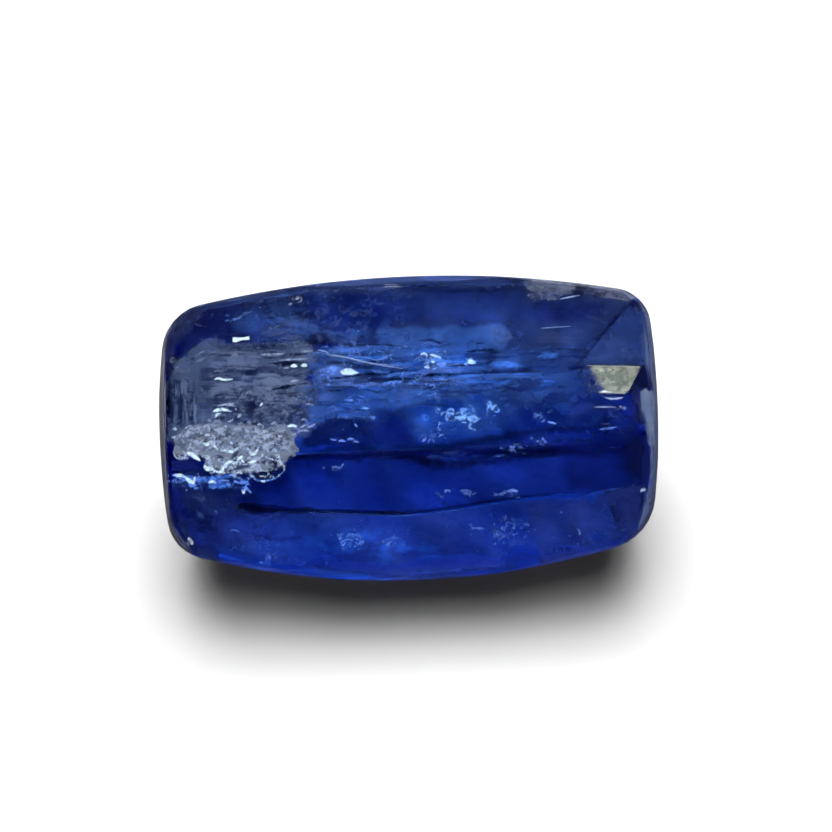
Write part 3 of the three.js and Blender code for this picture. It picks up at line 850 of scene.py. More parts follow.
             3.2, 1.2, 0.6, "white", 0.97),
            (((236.6, 460.4), (239.4, 458), (242.6, 455.6)), 2.6, 1.1, 0.7, "white", 0.95),
            (((247.6, 462.4), (252, 462), (256.4, 460.4)), 2.9, 1.1, 0.7, "white", 0.95),
            (((245, 468.6), (251, 470.4), (256.6, 468), (258, 463)), 1.9, 1.1, 0.8, "milk", 0.90),
            (((278.4, 455.4), (280, 461), (283.4, 466), (284, 471)), 2.6, 1.3, 0.7, "milk", 0.90),
            (((284, 471), (277, 477), (266, 480.8), (257, 480.6), (251, 475), (247.6, 472)),
             2.2, 1.6, 0.8, "skyLight", 0.75),
            (((271, 459), (275, 463), (276.6, 467.6)), 4.0, 1.2, 0.7, "ink", 0.92),
            (((258, 472.4), (264, 472.4), (272, 472.6)), 3.0, 1.2, 0.8, "ink", 0.92),
            (((246.4, 471), (250, 476), (254, 479.4)), 1.8, 1.0, 0.8, "ink", 0.85),
            (((173, 475.4), (180, 475.6), (186.6, 477.6)), 3.0, 1.2, 0.7, "white", 1.0),
            (((185, 477.4), (189, 480.6), (193, 483), (194.6, 477)), 3.8, 1.2, 0.6, "white", 1.0),
            (((195, 478), (198, 480), (202, 477.6)), 3.4, 1.6, 0.9, "skyLight", 0.90),
            (((208, 482.6), (212, 481.4), (216, 483.4)), 3.4, 1.2, 0.7, "white", 0.95),
            (((217, 481.4), (223, 480.4), (230, 481.4)), 1.9, 1.2, 0.8, "lilac", 0.90),
            (((228, 471.6), (234, 475.6), (243, 481)), 1.9, 1.3, 0.9, "grey", 0.90),
            (((233, 480.4), (240, 483.4), (247, 482)), 3.0, 1.6, 0.9, "lilac", 0.80),
            (((241.6, 489.4), (243.4, 492.8), (244.4, 488.8)), 2.3, 1.0, 0.6, "white", 1.0),
            (((243.6, 487), (247.6, 489.4), (251.4, 493.4)), 3.0, 1.2, 0.6, "lilac", 0.95),
            (((226, 320.6), (230, 319.6)), 1.6, 1.2, 0.8, "lilac", 0.70),
            (((232, 319.8), (237, 318.4), (242, 316.6)), 2.2, 1.1, 0.9, "lilac", 0.95),
            (((243, 314.6), (247, 312.6), (251, 311.8)), 2.0, 1.2, 0.9, "lilac", 0.85),
            (((195, 324), (201, 325.6), (207, 326.6)), 1.4, 1.2, 0.9, "dusk", 0.85),
            (((268, 330), (277, 326.4), (286, 323)), 1.7, 1.2, 0.9, "grey", 0.90),
            (((275, 333.6), (286, 331.6), (300, 334)), 1.7, 1.3, 0.9, "grey", 0.80),
            (((280, 337.6), (292, 338.6), (303, 335)), 1.5, 1.2, 0.9, "grey", 0.80),
        ),
        "curls": (
            ((206, 344, 314, 424), 90, (1.0, 3.4), 1.1, "mist", 0.55),
            ((206, 344, 314, 424), 70, (1.0, 3.4), 1.2, "shade", 0.65),
            ((216, 386, 314, 428), 34, (1.0, 2.8), 1.1, "stone", 0.75),
            ((296, 396, 318, 432), 16, (1.0, 2.6), 1.1, "lilac", 0.60),
            ((168, 372, 206, 432), 26, (1.4, 4.0), 1.2, "mist", 0.50),
            ((205, 424, 298, 452), 60, (1.0, 3.4), 1.2, "milk", 0.40),
            ((205, 424, 298, 452), 40, (1.0, 3.0), 1.2, "grey", 0.60),
            ((174, 434, 204, 456), 18, (1.2, 3.0), 1.2, "milk", 0.50),
            ((204, 455, 282, 478), 36, (1.0, 2.8), 1.3, "white", 0.60),
            ((204, 455, 282, 478), 34, (1.0, 2.8), 1.4, "shade", 0.75),
            ((174, 474, 250, 490), 44, (0.8, 2.6), 1.3, "skyLight", 0.85),
            ((206, 344, 322, 424), 40, (1.0, 3.4), 1.1, "grey", 0.60),
            ((262, 318, 304, 342), 26, (1.2, 4.0), 1.2, "dusk", 0.65),
            ((226, 308, 262, 326), 14, (0.8, 2.4), 1.1, "hazeBlue", 0.60),
        ),
    },
    # Painted glints and sparkles along the middle, with a painted glow, dark slits and fine fibres
    "glints": {
        "box": (314, 338, 590, 462), "pitch": 0.85, "depth": 0.26, "wave": 0.02, "seed": 171,
        "clouds": (
            (((316, 346, 6), (404, 345, 6), (470, 352, 8), (462, 392, 10), (318, 394, 6)), 8,
             "fibres", (0.54, 0.62), "hazeLight", 0.60),
            (((318, 350, 6), (412, 347, 6), (500, 350, 8), (540, 384, 10), (318, 390, 6)), 8,
             "fibres", (0.585, 0.655), "ink", 0.62),
            ((335, 374, 27, 11, 0), 6, "crumbs", (0.06, 0.46), "hazeLight", 0.74),
            ((333, 368.6, 7, 3, 0), 2, "crumbs", (0.2, 0.5), "skyLight", 0.75),
            ((441, 364.6, 7, 4, 0), 2, "crumbs", (0.2, 0.5), "skyLight", 0.75),
            ((425.4, 418, 5.2, 4.6, 0), 1.5, "even", (0, 1), "sky", 0.50),
            (((474, 373.4, 1), (500, 372.6, 1), (540, 372.4, 1), (546, 377.4, 1.5), (536, 379, 5),
              (474, 382, 5)), 2, "fibres", (0.0, 0.60), "haze", 0.85),
            (((476, 373.6, 1), (500, 372.8, 1), (540, 372.6, 1), (544, 375.4, 1.5), (476, 375.6, 1)), 1,
             "crumbs", (0.30, 0.60), "hazeBlue", 0.85),
            ((331, 371, 6, 5, 0), 2, "crumbs", (0.30, 0.50), "skyLight", 0.85),
            (((339.6, 371.4, 1), (345, 368, 1), (351, 367.8, 1), (360, 373, 1), (352, 375.4, 1),
              (342, 374.4, 1)), 1.2, "even", (0, 1), "glintWhite", 1.0),
        ),
        "strokes": (
            (((323, 379.8), (334, 378.4), (345, 377.2), (365, 374), (380, 374.4), (394, 373)),
             2.6, 1.0, 0.7, "ink", 0.95),
            (((324.6, 390), (334, 390.6), (346, 390)), 1.7, 0.9, 0.7, "ink", 0.90),
            (((356, 390), (368, 389.6), (377, 392.2), (382.6, 390.4)), 2.0, 0.9, 0.7, "ink", 0.92),
            (((311, 406.4), (335, 405.2), (350, 409), (374, 410.4)), 1.7, 1.2, 0.8, "navy", 0.85),
            (((343, 345.2), (360, 344.8), (378, 344.4), (395, 345.6), (408, 348.6), (420, 347)),
             1.6, 1.0, 0.7, "ink", 0.80),
            (((395, 380.4), (408, 382), (414, 379.6), (424, 376), (440, 374.6), (480, 373), (510, 371.6), (540, 371.2)),
             1.9, 1.0, 0.7, "ink", 0.85),
            (((379, 394), (387, 391), (395, 387)), 1.2, 0.9, 0.7, "navy", 0.85),
            (((410, 406), (424, 404.4), (442, 405.4), (452, 406.6)), 1.4, 0.9, 0.7, "ink", 0.70),
            (((466, 351.6), (482, 350), (498, 349)), 2.0, 1.0, 0.8, "ink", 0.90),
            (((476, 343.4), (486, 342.8)), 1.8, 1.0, 0.8, "ink", 0.85),
            (((418, 340.6), (430, 339.6), (440, 343), (446, 346.4)), 1.7, 1.0, 0.8, "ink", 0.85),
            (((547, 349), (566, 349), (587, 350)), 1.6, 1.0, 0.9, "ink", 0.75),
            (((556, 332), (568, 333), (582, 333)), 1.8, 1.0, 0.9, "ink", 0.80),
            (((497, 390), (506, 390.6), (514, 387)), 1.4, 1.0, 0.9, "ink", 0.60),
            (((392, 362.4), (404, 361), (414, 361.6)), 1.8, 1.2, 0.9, "navy", 0.70),
            (((341, 342), (348, 341), (357, 343.4)), 1.5, 1.1, 0.8, "hazeLight", 0.80),
            (((357, 347.6), (368, 346.4), (380, 347)), 1.4, 1.0, 0.8, "hazeLight", 0.80),
            (((326, 346), (334, 351), (346, 350)), 1.3, 1.0, 0.8, "hazeLight", 0.70),
            (((384, 351.6), (391, 351), (398, 351.6)), 1.4, 1.0, 0.8, "hazeLight", 0.70),
            (((380, 359.4), (385, 357.6), (391, 355)), 2.0, 1.2, 0.8, "lilac", 0.75),
            (((420, 345), (428, 342.6), (437, 345), (444, 344)), 1.5, 1.1, 0.8, "hazeLight", 0.75),
            (((355, 347), (360, 355), (362, 362)), 1.2, 1.0, 0.8, "skyLight", 0.70),
            (((326, 363), (334, 363), (344, 363.4)), 1.2, 1.0, 0.8, "night", 0.75),
            (((371, 370.4), (376, 371), (381, 370.4)), 1.6, 1.2, 0.8, "lilac", 0.75),
            (((430, 354.4), (434, 355.4), (441, 357.6)), 2.6, 0.9, 0.4, "glintWhite", 1.0),
            (((424.6, 367.4), (427, 366.4), (429.4, 368)), 3.4, 1.0, 0.5, "glintWhite", 1.0),
            (((431, 361), (433, 362), (435.4, 361.4)), 2.4, 1.0, 0.5, "glintWhite", 0.95),
            (((420.4, 355.4), (423, 353), (426.4, 354.4), (427, 358)), 1.6, 1.0, 0.7, "glintWhite", 0.85),
            (((448, 365), (456, 363.6), (464, 363)), 1.5, 1.1, 0.9, "skyLight", 0.75),
            (((468, 362.6), (471, 361.6), (474.6, 363)), 4.6, 1.0, 0.4, "glintWhite", 1.0),
            (((439, 378.4), (443, 378.8), (447, 380)), 1.6, 1.2, 0.8, "skyLight", 0.70),
            (((454, 417.4), (459, 418), (465, 417.2)), 2.0, 0.9, 0.5, "glint", 0.95),
            (((344.6, 400), (350, 400.4), (355, 401.6)), 1.9, 1.1, 0.8, "skyLight", 0.80),
            (((361, 408.4), (365, 408), (369.4, 408.6)), 1.9, 1.0, 0.7, "glint", 0.90),
            (((326, 417.6), (340, 417), (356, 416), (368, 417.4)), 1.3, 1.1, 0.9, "hazeLight", 0.75),
            (((370.6, 416), (373, 418.4), (374.6, 416.6)), 2.6, 1.1, 0.6, "skyLight", 0.90),
            (((354, 424), (356, 425.6), (357.4, 427.6)), 1.9, 1.0, 0.6, "lilac", 0.90),
            (((330, 438.6), (333, 439.6), (337, 440)), 1.8, 1.0, 0.7, "lilac", 0.95),
            (((338, 441.4), (342, 440.6), (346, 442)), 2.0, 1.0, 0.7, "lilac", 0.95),
            (((346.6, 440), (350, 438.8), (354.6, 439.6)), 2.0, 1.0, 0.7, "lilac", 0.95),
            (((353, 442), (356, 441.4), (360, 442.8)), 1.6, 1.0, 0.7, "lilac", 0.80),
            (((548, 421.6), (552, 422.6), (557, 424.2)), 2.4, 1.0, 0.5, "lilac", 0.97),
            (((531, 437.6), (533, 438.8)), 2.0, 1.0, 0.5, "lilac", 0.80),
            (((542.6, 437), (543.4, 440)), 1.8, 1.0, 0.5, "lilac", 0.90),
            (((422, 442), (424.4, 439.6), (426, 437.8)), 2.6, 1.1, 0.5, "lilac", 0.85),
            (((438, 438), (441, 435), (445, 435.4)), 1.8, 1.2, 0.7, "lilac", 0.75),
        ),
        "curls": (
            ((420, 352, 447, 369), 18, (0.8, 2.2), 1.2, "glint", 0.75),
            ((465, 358, 476, 366), 5, (1.2, 2.8), 1.2, "glint", 0.80),
            ((317, 364, 331, 378), 9, (0.8, 2.2), 1.1, "skyLight", 0.65),
            ((322, 346, 404, 366), 34, (0.8, 3.0), 1.1, "skyLight", 0.50),
            ((320, 348, 452, 388), 46, (0.8, 2.8), 1.1, "skyLight", 0.60),
            ((320, 350, 500, 392), 50, (0.8, 3.0), 1.1, "ink", 0.55),
            ((384, 376, 391, 384), 4, (1.6, 3.2), 1.3, "skyLight", 0.80),
            ((394, 380, 402, 385), 3, (1.4, 2.6), 1.2, "skyLight", 0.60),
            ((419, 385, 438, 400), 12, (1.2, 3.4), 1.2, "skyLight", 0.65),
            ((436, 408, 478, 423), 30, (1.2, 3.4), 1.2, "glint", 0.75),
            ((444, 412, 454, 422), 3, (2.6, 4.0), 1.3, "glint", 0.90),
            ((472, 415, 476, 419), 2, (3.0, 3.8), 1.6, "glint", 0.95),
            ((472, 426, 476, 429), 2, (2.8, 3.6), 1.6, "glint", 0.90),
            ((440, 424, 446, 428), 2, (2.8, 3.8), 1.4, "skyLight", 0.65),
            ((460, 405, 472, 413), 6, (1.0, 2.6), 1.2, "skyLight", 0.80),
            ((488, 403, 497, 418), 9, (1.0, 2.8), 1.3, "glint", 0.85),
            ((533, 411, 546, 421), 9, (0.8, 2.4), 1.3, "lilac", 0.80),
            ((549, 409, 558, 414), 4, (0.8, 2.0), 1.1, "skyLight", 0.55),
            ((421, 431, 434, 443), 6, (1.2, 3.0), 1.2, "lilac", 0.65),
            ((541, 442, 544, 445), 3, (3.2, 4.2), 1.5, "lilac", 0.95),
            ((501, 444, 527, 453), 12, (0.7, 2.0), 1.2, "lilac", 0.70),
            ((495, 453, 502, 458), 3, (1.0, 2.4), 1.2, "skyLight", 0.45),
            ((426, 450, 478, 460), 22, (0.7, 2.2), 1.1, "hazeLight", 0.45),
            ((330, 396, 376, 422), 22, (0.8, 3.0), 1.1, "skyLight", 0.45),
            ((400, 380, 520, 432), 40, (0.8, 2.8), 1.1, "azure", 0.60),
            ((500, 392, 560, 432), 18, (0.8, 2.8), 1.1, "azure", 0.50),
        ),
    },
    # Painted sparkles in the two lower bands
    "lower_glints": {
        "box": (180, 462, 650, 578), "pitch": 1.0, "depth": 0.30, "wave": 0.02, "seed": 211,
        "clouds": (
            ((508, 532, 20, 14, 0), 6, "crumbs", (0.50, 0.66), "hazeBlue", 0.50),
            ((350, 541, 16, 8, 0), 6, "crumbs", (0.50, 0.66), "hazeBlue", 0.55),
        ),
        "strokes": (
            (((508, 491), (513, 490.4), (519, 491.4)), 2.4, 1.1, 0.6, "lilac", 0.95),
            (((493, 496), (500, 494), (507, 493)), 1.4, 1.1, 0.9, "lilac", 0.75),
            (((460, 491), (466, 490), (472, 492)), 1.7, 1.1, 0.9, "lilac", 0.80),
            (((471, 529), (477, 528.4), (484, 529)), 1.7, 1.1, 0.9, "lilac", 0.75),
            (((494, 536), (501, 535), (509, 537)), 1.5, 1.1, 0.9, "lilac", 0.65),
            (((331, 467.6), (335, 466.8), (341, 467.4)), 1.9, 1.0, 0.7, "lilac", 0.95),
            (((322, 468), (326, 467.4)), 1.4, 1.0, 0.7, "lilac", 0.70),
            (((578, 529), (580, 532), (580, 536)), 1.9, 1.1, 0.6, "lilac", 0.70),
            (((230, 531), (234, 530), (239, 532)), 1.5, 1.1, 0.8, "hazeLight", 0.70),
            (((386, 540), (392, 538), (400, 539)), 1.7, 1.2, 0.8, "skyLight", 0.70),
            (((340, 543), (346, 540), (354, 541)), 1.7, 1.2, 0.8, "skyLight", 0.75),
        ),
        "curls": (
            ((437, 489, 448, 499), 6, (0.8, 2.4), 1.2, "lilac", 0.75),
            ((458, 489, 480, 496), 8, (0.8, 2.2), 1.2, "lilac", 0.65),
            ((492, 488, 520, 498), 10, (0.8, 2.2), 1.2, "lilac", 0.65),
            ((492, 518, 528, 546), 34, (0.7, 2.4), 1.2, "hazeLight", 0.60),
            ((496, 528, 518, 540), 10, (0.7, 2.0), 1.2, "lilac", 0.60),
            ((468, 525, 486, 532), 7, (0.7, 1.8), 1.1, "hazeLight", 0.60),
            ((336, 533, 364, 549), 22, (0.7, 2.4), 1.2, "skyLight", 0.60),
            ((383, 533, 404, 547), 12, (0.7, 2.4), 1.2, "skyLight", 0.55),
            ((252, 538, 282, 552), 18, (1.0, 3.2), 1.2, "azure", 0.75),
            ((258, 555, 276, 564), 9, (0.7, 2.0), 1.1, "skyLight", 0.60),
            ((326, 466, 344, 470), 5, (0.6, 1.6), 1.1, "lilac", 0.60),
            ((190, 510, 620, 568), 150, (0.6, 2.4), 1.1, "hazeBlue", 0.45),
            ((190, 488, 250, 540), 22, (0.8, 2.6), 1.2, "haze", 0.50),
            ((430, 462, 640, 488), 26, (0.6, 1.8), 1.1, "haze", 0.40),
        ),
    },
}


def hazeMaterial(name):
    # Silky haze with the sheet's own colours and cover; the colours include painted light and shade
    material, nodes, links = newMaterial(name)
    shader = nodes["Principled BSDF"]
    setSocket(shader, "Metallic", 1.0)
    setSocket(shader, "Roughness", 0.75)
    links.new(readAttribute(nodes, "tint", "Color"), shader.inputs["Base Color"])
    links.new(readAttribute(nodes, "cover", "Fac"), shader.inputs["Alpha"])
    return material


def makeHaze(name, look):
    # A grid over the sheet's box, at one depth plus gentle waves. Each cloud and stroke covers part of
    # what lies under it; faces that nothing covers, or that reach out of the stone, are left out.
    left, top, right, bottom = look["box"]
    x, y = np.meshgrid(np.arange(left, right, look["pitch"]), np.arange(bottom, top, -look["pitch"]))
    u, v = fromPhoto(x, y)
    w = -look["depth"] + look["wave"] * ripple(u, v, 1.6, look["seed"])
    places, within = pulledIn(np.stack((u, v), axis=-1))
    points = heldInside(np.dstack((places, w))).reshape(-1, 3)
    tint, cover = np.zeros((*x.shape, 3)), np.zeros(x.shape)
    layers = []
    for number, (shape, ragged, pattern, between, colour, most) in enumerate(look["clouds"]):
        seed = look["seed"] * 100 + number * 7
        share = cloudShare(x, y, shape, ragged, seed) * hazePattern(x, y, pattern, between, seed + 3)
        layers.append((share * most, colour))
    for number, (corners, width, soft, ragged, colour, most) in enumerate(look["strokes"]):
        seed = look["seed"] * 100 + number * 7 + 50
        layers.append((strokeShare(x, y, corners, width, soft, ragged, seed) * most, colour))
    for number, (box, count, radii, width, colour, most) in enumerate(look.get("curls", ())):
        seed = look["seed"] * 100 + number * 7 + 90
        layers.append((curlShare(x, y, box, count, radii, width, seed) * most, colour))
    shade = 0.8 + 0.4 * latticeNoise(x, y, 9.0, 5.0, 4, look["seed"] + 5)
    for share, colour in layers:
        whole = cover + share - cover * share
        keep = np.where(whole > 0, share / np.maximum(whole, 1e-6), 0)[..., None]
        tint = tint * (1 - keep) + keep * hazeAlbedo(hazeColours[colour], look["depth"])
        cover = whole
    tint = np.clip(tint * shade[..., None], 0, 1).reshape(-1, 3)
    faces = gridFaces(*x.shape)
    inside = (points @ stoneNormals.T - stoneOffsets).max(axis=1) < -0.005
    kept = (cover.ravel()[faces].max(axis=1) > 0.01) & inside[faces].all(axis=1)
    kept &= within.ravel()[faces].any(axis=1)
    used, faces = np.unique(faces[kept], return_inverse=True)
    addPiece(name, points[used], faces.reshape(-1, 4).tolist(), hazeMaterial(name),
             {"cover": cover.ravel()[used], "tint": tint[used]}, smooth=True)


for sheetName, sheetLook in hazeSheets.items():
    makeHaze(sheetName, sheetLook)

# Flecks: tiny cracks that mirror the light, each a flat lens. A cluster is its box in the
# photograph's pixels, how many, the largest length in px, the depth in mm and how bright.
fleckLook = {
    "clusters": (
        (420, 353, 443, 370, 12, 3.0, 0.5, 0.9), (338, 367, 362, 376, 6, 3.0, 0.4, 0.8),
        (435, 405, 484, 430, 26, 3.0, 0.9, 0.8), (488, 404, 496, 418, 6, 3.0, 0.9, 0.7),
        (420, 430, 447, 444, 8, 3.0, 0.7, 0.6), (500, 440, 531, 453, 8, 3.0, 0.7, 0.5),
        (493, 518, 522, 546, 12, 3.0, 0.5, 0.5), (338, 536, 364, 549, 8, 3.0, 0.5, 0.5),
        (210, 402, 238, 418, 10, 3.0, 0.25, 0.9), (172, 474, 202, 484, 14, 3.0, 0.2, 0.9),
        (200, 466, 240, 474, 10, 3.0, 0.2, 0.9), (330, 360, 480, 420, 40, 2.6, 0.8, 0.3),
        (190, 510, 620, 560, 70, 2.6, 0.6, 0.22), (200, 300, 560, 350, 60, 2.4, 0.6, 0.22),
        (180, 350, 310, 420, 60, 2.8, 0.3, 0.35),
    ),
    "sides": 7,
    "tilt": 0.13,
    "stretch": 1.9,
    "thickness": 0.22,
    "seed": 41,
}


def fleckMaterial():
    # A bright mirror-like skin; each fleck has its own share of the light
    material, nodes, links = newMaterial("crack_mirror")
    shader = nodes["Principled BSDF"]
    setSocket(shader, "Metallic", 1.0)
    setSocket(shader, "Roughness", 0.32)
    colour = addMix(nodes, links, readAttribute(nodes, "amount"), (0.10, 0.15, 0.30), (0.95, 0.97, 1.0))
    links.new(colour, shader.inputs["Base Color"])
    return material


def makeFlecks(name, look, material):
    # Each fleck is a ring of uneven radius between an upper and a lower pole, squeezed across,
    # turned a little and tilted; every corner of every fleck is worked out in one array
    rng = np.random.default_rng(look["seed"])
    rows = []
    for x0, y0, x1, y1, count, size, depth, bright in look["clusters"]:
        rows.append(np.column_stack((
            rng.normal((x0 + x1) / 2, (x1 - x0) / 3.6, count), rng.normal((y0 + y1) / 2, (y1 - y0) / 3.6, count),
            size * rng.uniform(0.25, 1.0, count) ** 1.4, depth * rng.uniform(0.7, 1.3, count),
            bright * rng.uniform(0.25, 1.0, count),
        )))
    x, y, size, depth, bright = np.concatenate(rows).T
    total, sides = len(x), look["sides"]
    perPixel = cameraLook["frameWidth"] / cameraLook["side"]
    half = (size * perPixel / 2)[:, None]
    around = np.linspace(0, 2 * math.pi, sides, endpoint=False) + rng.uniform(0, 1, (total, 1))
    radius = half * rng.uniform(0.55, 1.0, (total, sides))
    squeeze = rng.uniform(1.0, look["stretch"], (total, 1))
    along, across = radius * np.cos(around), radius * np.sin(around) / squeeze
    turn = rng.normal(0, 0.35, (total, 1))
    du = np.cos(turn) * along - np.sin(turn) * across
    dv = np.sin(turn) * along + np.cos(turn) * across
    tilt = rng.normal(0, look["tilt"], (2, total, 1))
    dw = du * tilt[0] + dv * tilt[1]
    pole = half * look["thickness"]
    du = np.concatenate((du, 0 * pole, 0 * pole), axis=1)
    dv = np.concatenate((dv, 0 * pole, 0 * pole), axis=1)
    dw = np.concatenate((dw, pole, -pole), axis=1)
    u, v = fromPhoto(x, y)
    points = np.stack((u[:, None] + du, v[:, None] + dv, dw - depth[:, None]), axis=-1)
    centre = heldInside(np.stack((u, v, -depth), axis=-1), 0.08)
    points[..., 2] += (centre[:, 2] + depth)[:, None]
    ring, following = np.arange(sides), (np.arange(sides) + 1) % sides
    upper = np.column_stack((np.full(sides, sides), ring, following))
    lower = np.column_stack((np.full(sides, sides + 1), following, ring))
    faces = (np.arange(total) * (sides + 2))[:, None, None] + np.concatenate((upper, lower))
    held = (points.reshape(total, -1, 3) @ stoneNormals.T - stoneOffsets).max(axis=(1, 2)) < -0.01
    used, faces = np.unique(faces[held], return_inverse=True)
    amount = np.repeat(bright, sides + 2)
    addPiece(name, points.reshape(-1, 3)[used], faces.reshape(-1, 3).tolist(), material, {"amount": amount[used]})


makeFlecks("flecks", fleckLook, fleckMaterial())

# Granular patch: a crust of tiny crystal grains at the left end, each grain a flat of its own tilt
grainLook = {
    "outline": ((170, 428), (196, 418), (240, 420), (272, 427), (300, 430), (300, 449), (279, 455),
                (286, 468), (262, 482), (246, 481), (238, 476), (200, 462), (172, 460)),
    "pitch": 4.2,           # between grains, in the photograph's pixels
    "step": 1.1,            # grid step in the same pixels
    "depth": 0.13,
    "share": 0.16,          # how many of the places hold a grain
    "tilt": 0.16,
    "relief": 0.02,
    "seed": 57,
}


def grainMaterial():
    material, nodes, links = newMaterial("grain_crust")
    shader = nodes["Principled BSDF"]
    setSocket(shader, "Metallic", 0.55)
    setSocket(shader, "Roughness", 0.42)
    mottles = addNoise(nodes, links, (1.0, 1.2, 1.0), 4.0, 6.0)
    share = addRange(nodes, links, mottles, 0.38, 0.62, 0.25, 1.0)
    share = addMath(nodes, links, "MULTIPLY", share, readAttribute(nodes, "amount"))
    colour = addMix(nodes, links, share, (0.10, 0.14, 0.22), (0.92, 0.95, 1.0))
    links.new(colour, shader.inputs["Base Color"])
    return material


def makeGrains(name, look, material):
    # Every grid point belongs to the nearest of a set of jittered seeds and lies on that seed's
    # own tilted plane; grains whose seed is outside the outline are left out
    rng = np.random.default_rng(look["seed"])
    outline = look["outline"]
    xs, ys = [corner[0] for corner in outline], [corner[1] for corner in outline]
    x, y = np.meshgrid(np.arange(min(xs) - 4, max(xs) + 6, look["step"]),
                       np.arange(max(ys) + 6, min(ys) - 6, -look["step"]))
    seedX, seedY = np.meshgrid(np.arange(min(xs) - 8, max(xs) + 10, look["pitch"]),
                               np.arange(min(ys) - 8, max(ys) + 10, look["pitch"] * 0.8))
    seedX = seedX.ravel() + rng.normal(0, look["pitch"] * 0.35, seedX.size)
    seedY = seedY.ravel() + rng.normal(0, look["pitch"] * 0.28, seedY.size)
    apart = (x[..., None] - seedX) ** 2 + (1.5 * (y[..., None] - seedY)) ** 2
    nearest = apart.argmin(axis=-1)
    keep = inPolygon(seedX, seedY, outline) & (rng.random(seedX.size) < look["share"])
    u, v = fromPhoto(x, y)
    seedU, seedV = fromPhoto(seedX, seedY)
    tilt = rng.normal(0, look["tilt"], (2, seedX.size))
    lift = rng.normal(0, look["relief"], seedX.size)
    w = lift[nearest] + tilt[0][nearest] * (u - seedU[nearest]) + tilt[1][nearest] * (v - seedV[nearest])
    points = heldInside(np.stack((u, v, w - look["depth"]), axis=-1)).reshape(-1, 3)
    faces = gridFaces(*x.shape)
    kept = keep[nearest.ravel()[faces]].all(axis=1)
    used, faces = np.unique(faces[kept], return_inverse=True)
    bright = rng.uniform(0.2, 1.0, seedX.size) ** 1.3
    addPiece(name, points[used], faces.reshape(-1, 4).tolist(), material,
             {"amount": bright[nearest].ravel()[used]})


makeGrains("grain_crust", grainLook, grainMaterial())


def bladePoints(corners, width, depth, thickness, ragged, rng, steps=36, sides=6):
    # A flattened tube along a path on the table: half the width shrinks to both ends as the root
    # of a sine, with small random steps, and the section is an ellipse. Width in px, depth in mm.
    path = smoothPath(corners, steps)
    u, v = fromPhoto(path[:, 0], path[:, 1])
    centre = np.stack((u, v, np.full(steps, -depth)), axis=-1)
    ahead = np.gradient(centre, axis=0)
    ahead /= np.linalg.norm(ahead, axis=1)[:, None]
    aside = np.stack((-ahead[:, 1], ahead[:, 0], 0 * u), axis=-1)
    taper = np.sqrt(np.sin(np.linspace(0.02, math.pi - 0.02, steps)))
    taper *= 1 + ragged * rng.uniform(-1, 1, steps)
    half = width * cameraLook["frameWidth"] / cameraLook["side"] / 2 * taper
    around = np.linspace(0, 2 * math.pi, sides, endpoint=False)
    offset = (np.cos(around)[None, :, None] * (half[:, None] * aside)[:, None, :]
              + np.sin(around)[None, :, None] * (thickness * half)[:, None, None] * np.array([0, 0, 1.0]))
    rings = centre[:, None, :] + offset
    return np.concatenate((rings.reshape(-1, 3), centre[:1], centre[-1:]))


def bladeFaces(steps, sides):
    # Quads around the tube and a fan of triangles at each tip
    row = np.arange(steps - 1)[:, None] * sides
    column, following = np.arange(sides), (np.arange(sides) + 1) % sides
    quads = np.stack((row + column, row + sides + column, row + sides + following, row + following), axis=-1)
    last = (steps - 1) * sides
    tips = [[steps * sides, i, j] for i, j in zip(column.tolist(), following.tolist())]
    tips += [[steps * sides + 1, last + j, last + i] for i, j in zip(column.tolist(), following.tolist())]
    return quads.reshape(-1, 4).tolist() + tips


def makeBlades(name, blades, material, thickness, ragged, seed, steps=36, sides=6):
    rng = np.random.default_rng(seed)
    points, faces = [], []
    shape = bladeFaces(steps, sides)
    for corners, width, depth in blades:
        first = sum(len(part) for part in points)
        points.append(heldInside(bladePoints(corners, width, depth, thickness, ragged, rng, steps, sides)))
        faces += [[first + i for i in face] for face in shape]
    addPiece(name, np.concatenate(points), faces, material, {}, smooth=True)


def plainMaterial(name, colour, roughness, metallic=0.0):
    # One finish with a little unevenness in its colour
    material, nodes, links = newMaterial(name)
    shader = nodes["Principled BSDF"]
    setSocket(shader, "Roughness", roughness)
    setSocket(shader, "Metallic", metallic)
    setSocket(shader, "Specular IOR Level", 0.0)
    mottles = addNoise(nodes, links, (1.0, 2.0, 1.0), 6.0, 5.0)
    dim = tuple(0.6 * channel for channel in colour)
    links.new(addMix(nodes, links, mottles, dim, colour), shader.inputs["Base Color"])
    return material


# Needles: (corners in the photograph's pixels, width in px, depth in mm)
needles = (
    (((315, 351.6), (329, 354.8), (346, 357.4), (360, 361), (380, 365), (403, 368.6)), 2.1, 0.22),
    (((318, 350), (326, 352), (332, 357)), 1.4, 0.24),
    (((345, 358), (362, 357), (380, 361)), 0.7, 0.40),
    (((360, 366), (380, 364), (398, 366)), 0.7, 0.40),
    (((541, 328), (556, 327), (571, 326)), 0.9, 0.40),
    (((330, 405), (350, 404), (368, 408)), 0.8, 0.60),
    (((560, 299), (570, 297), (580, 295)), 1.5, 0.14),
)
makeBlades("needles", needles, plainMaterial("needle_white", (0.85, 0.92, 1.0), 0.30, 0.8), 0.8, 0.15, 61)

# Studio: a pale floor, a broad row of soft suns behind the stone and a bright room around it
studioLook = {
    "floorSize": 0.6,
    "floorColour": 0.1,
    "airGap": 0.01 * mm,         # polished flats touch a surface only at a few points
}


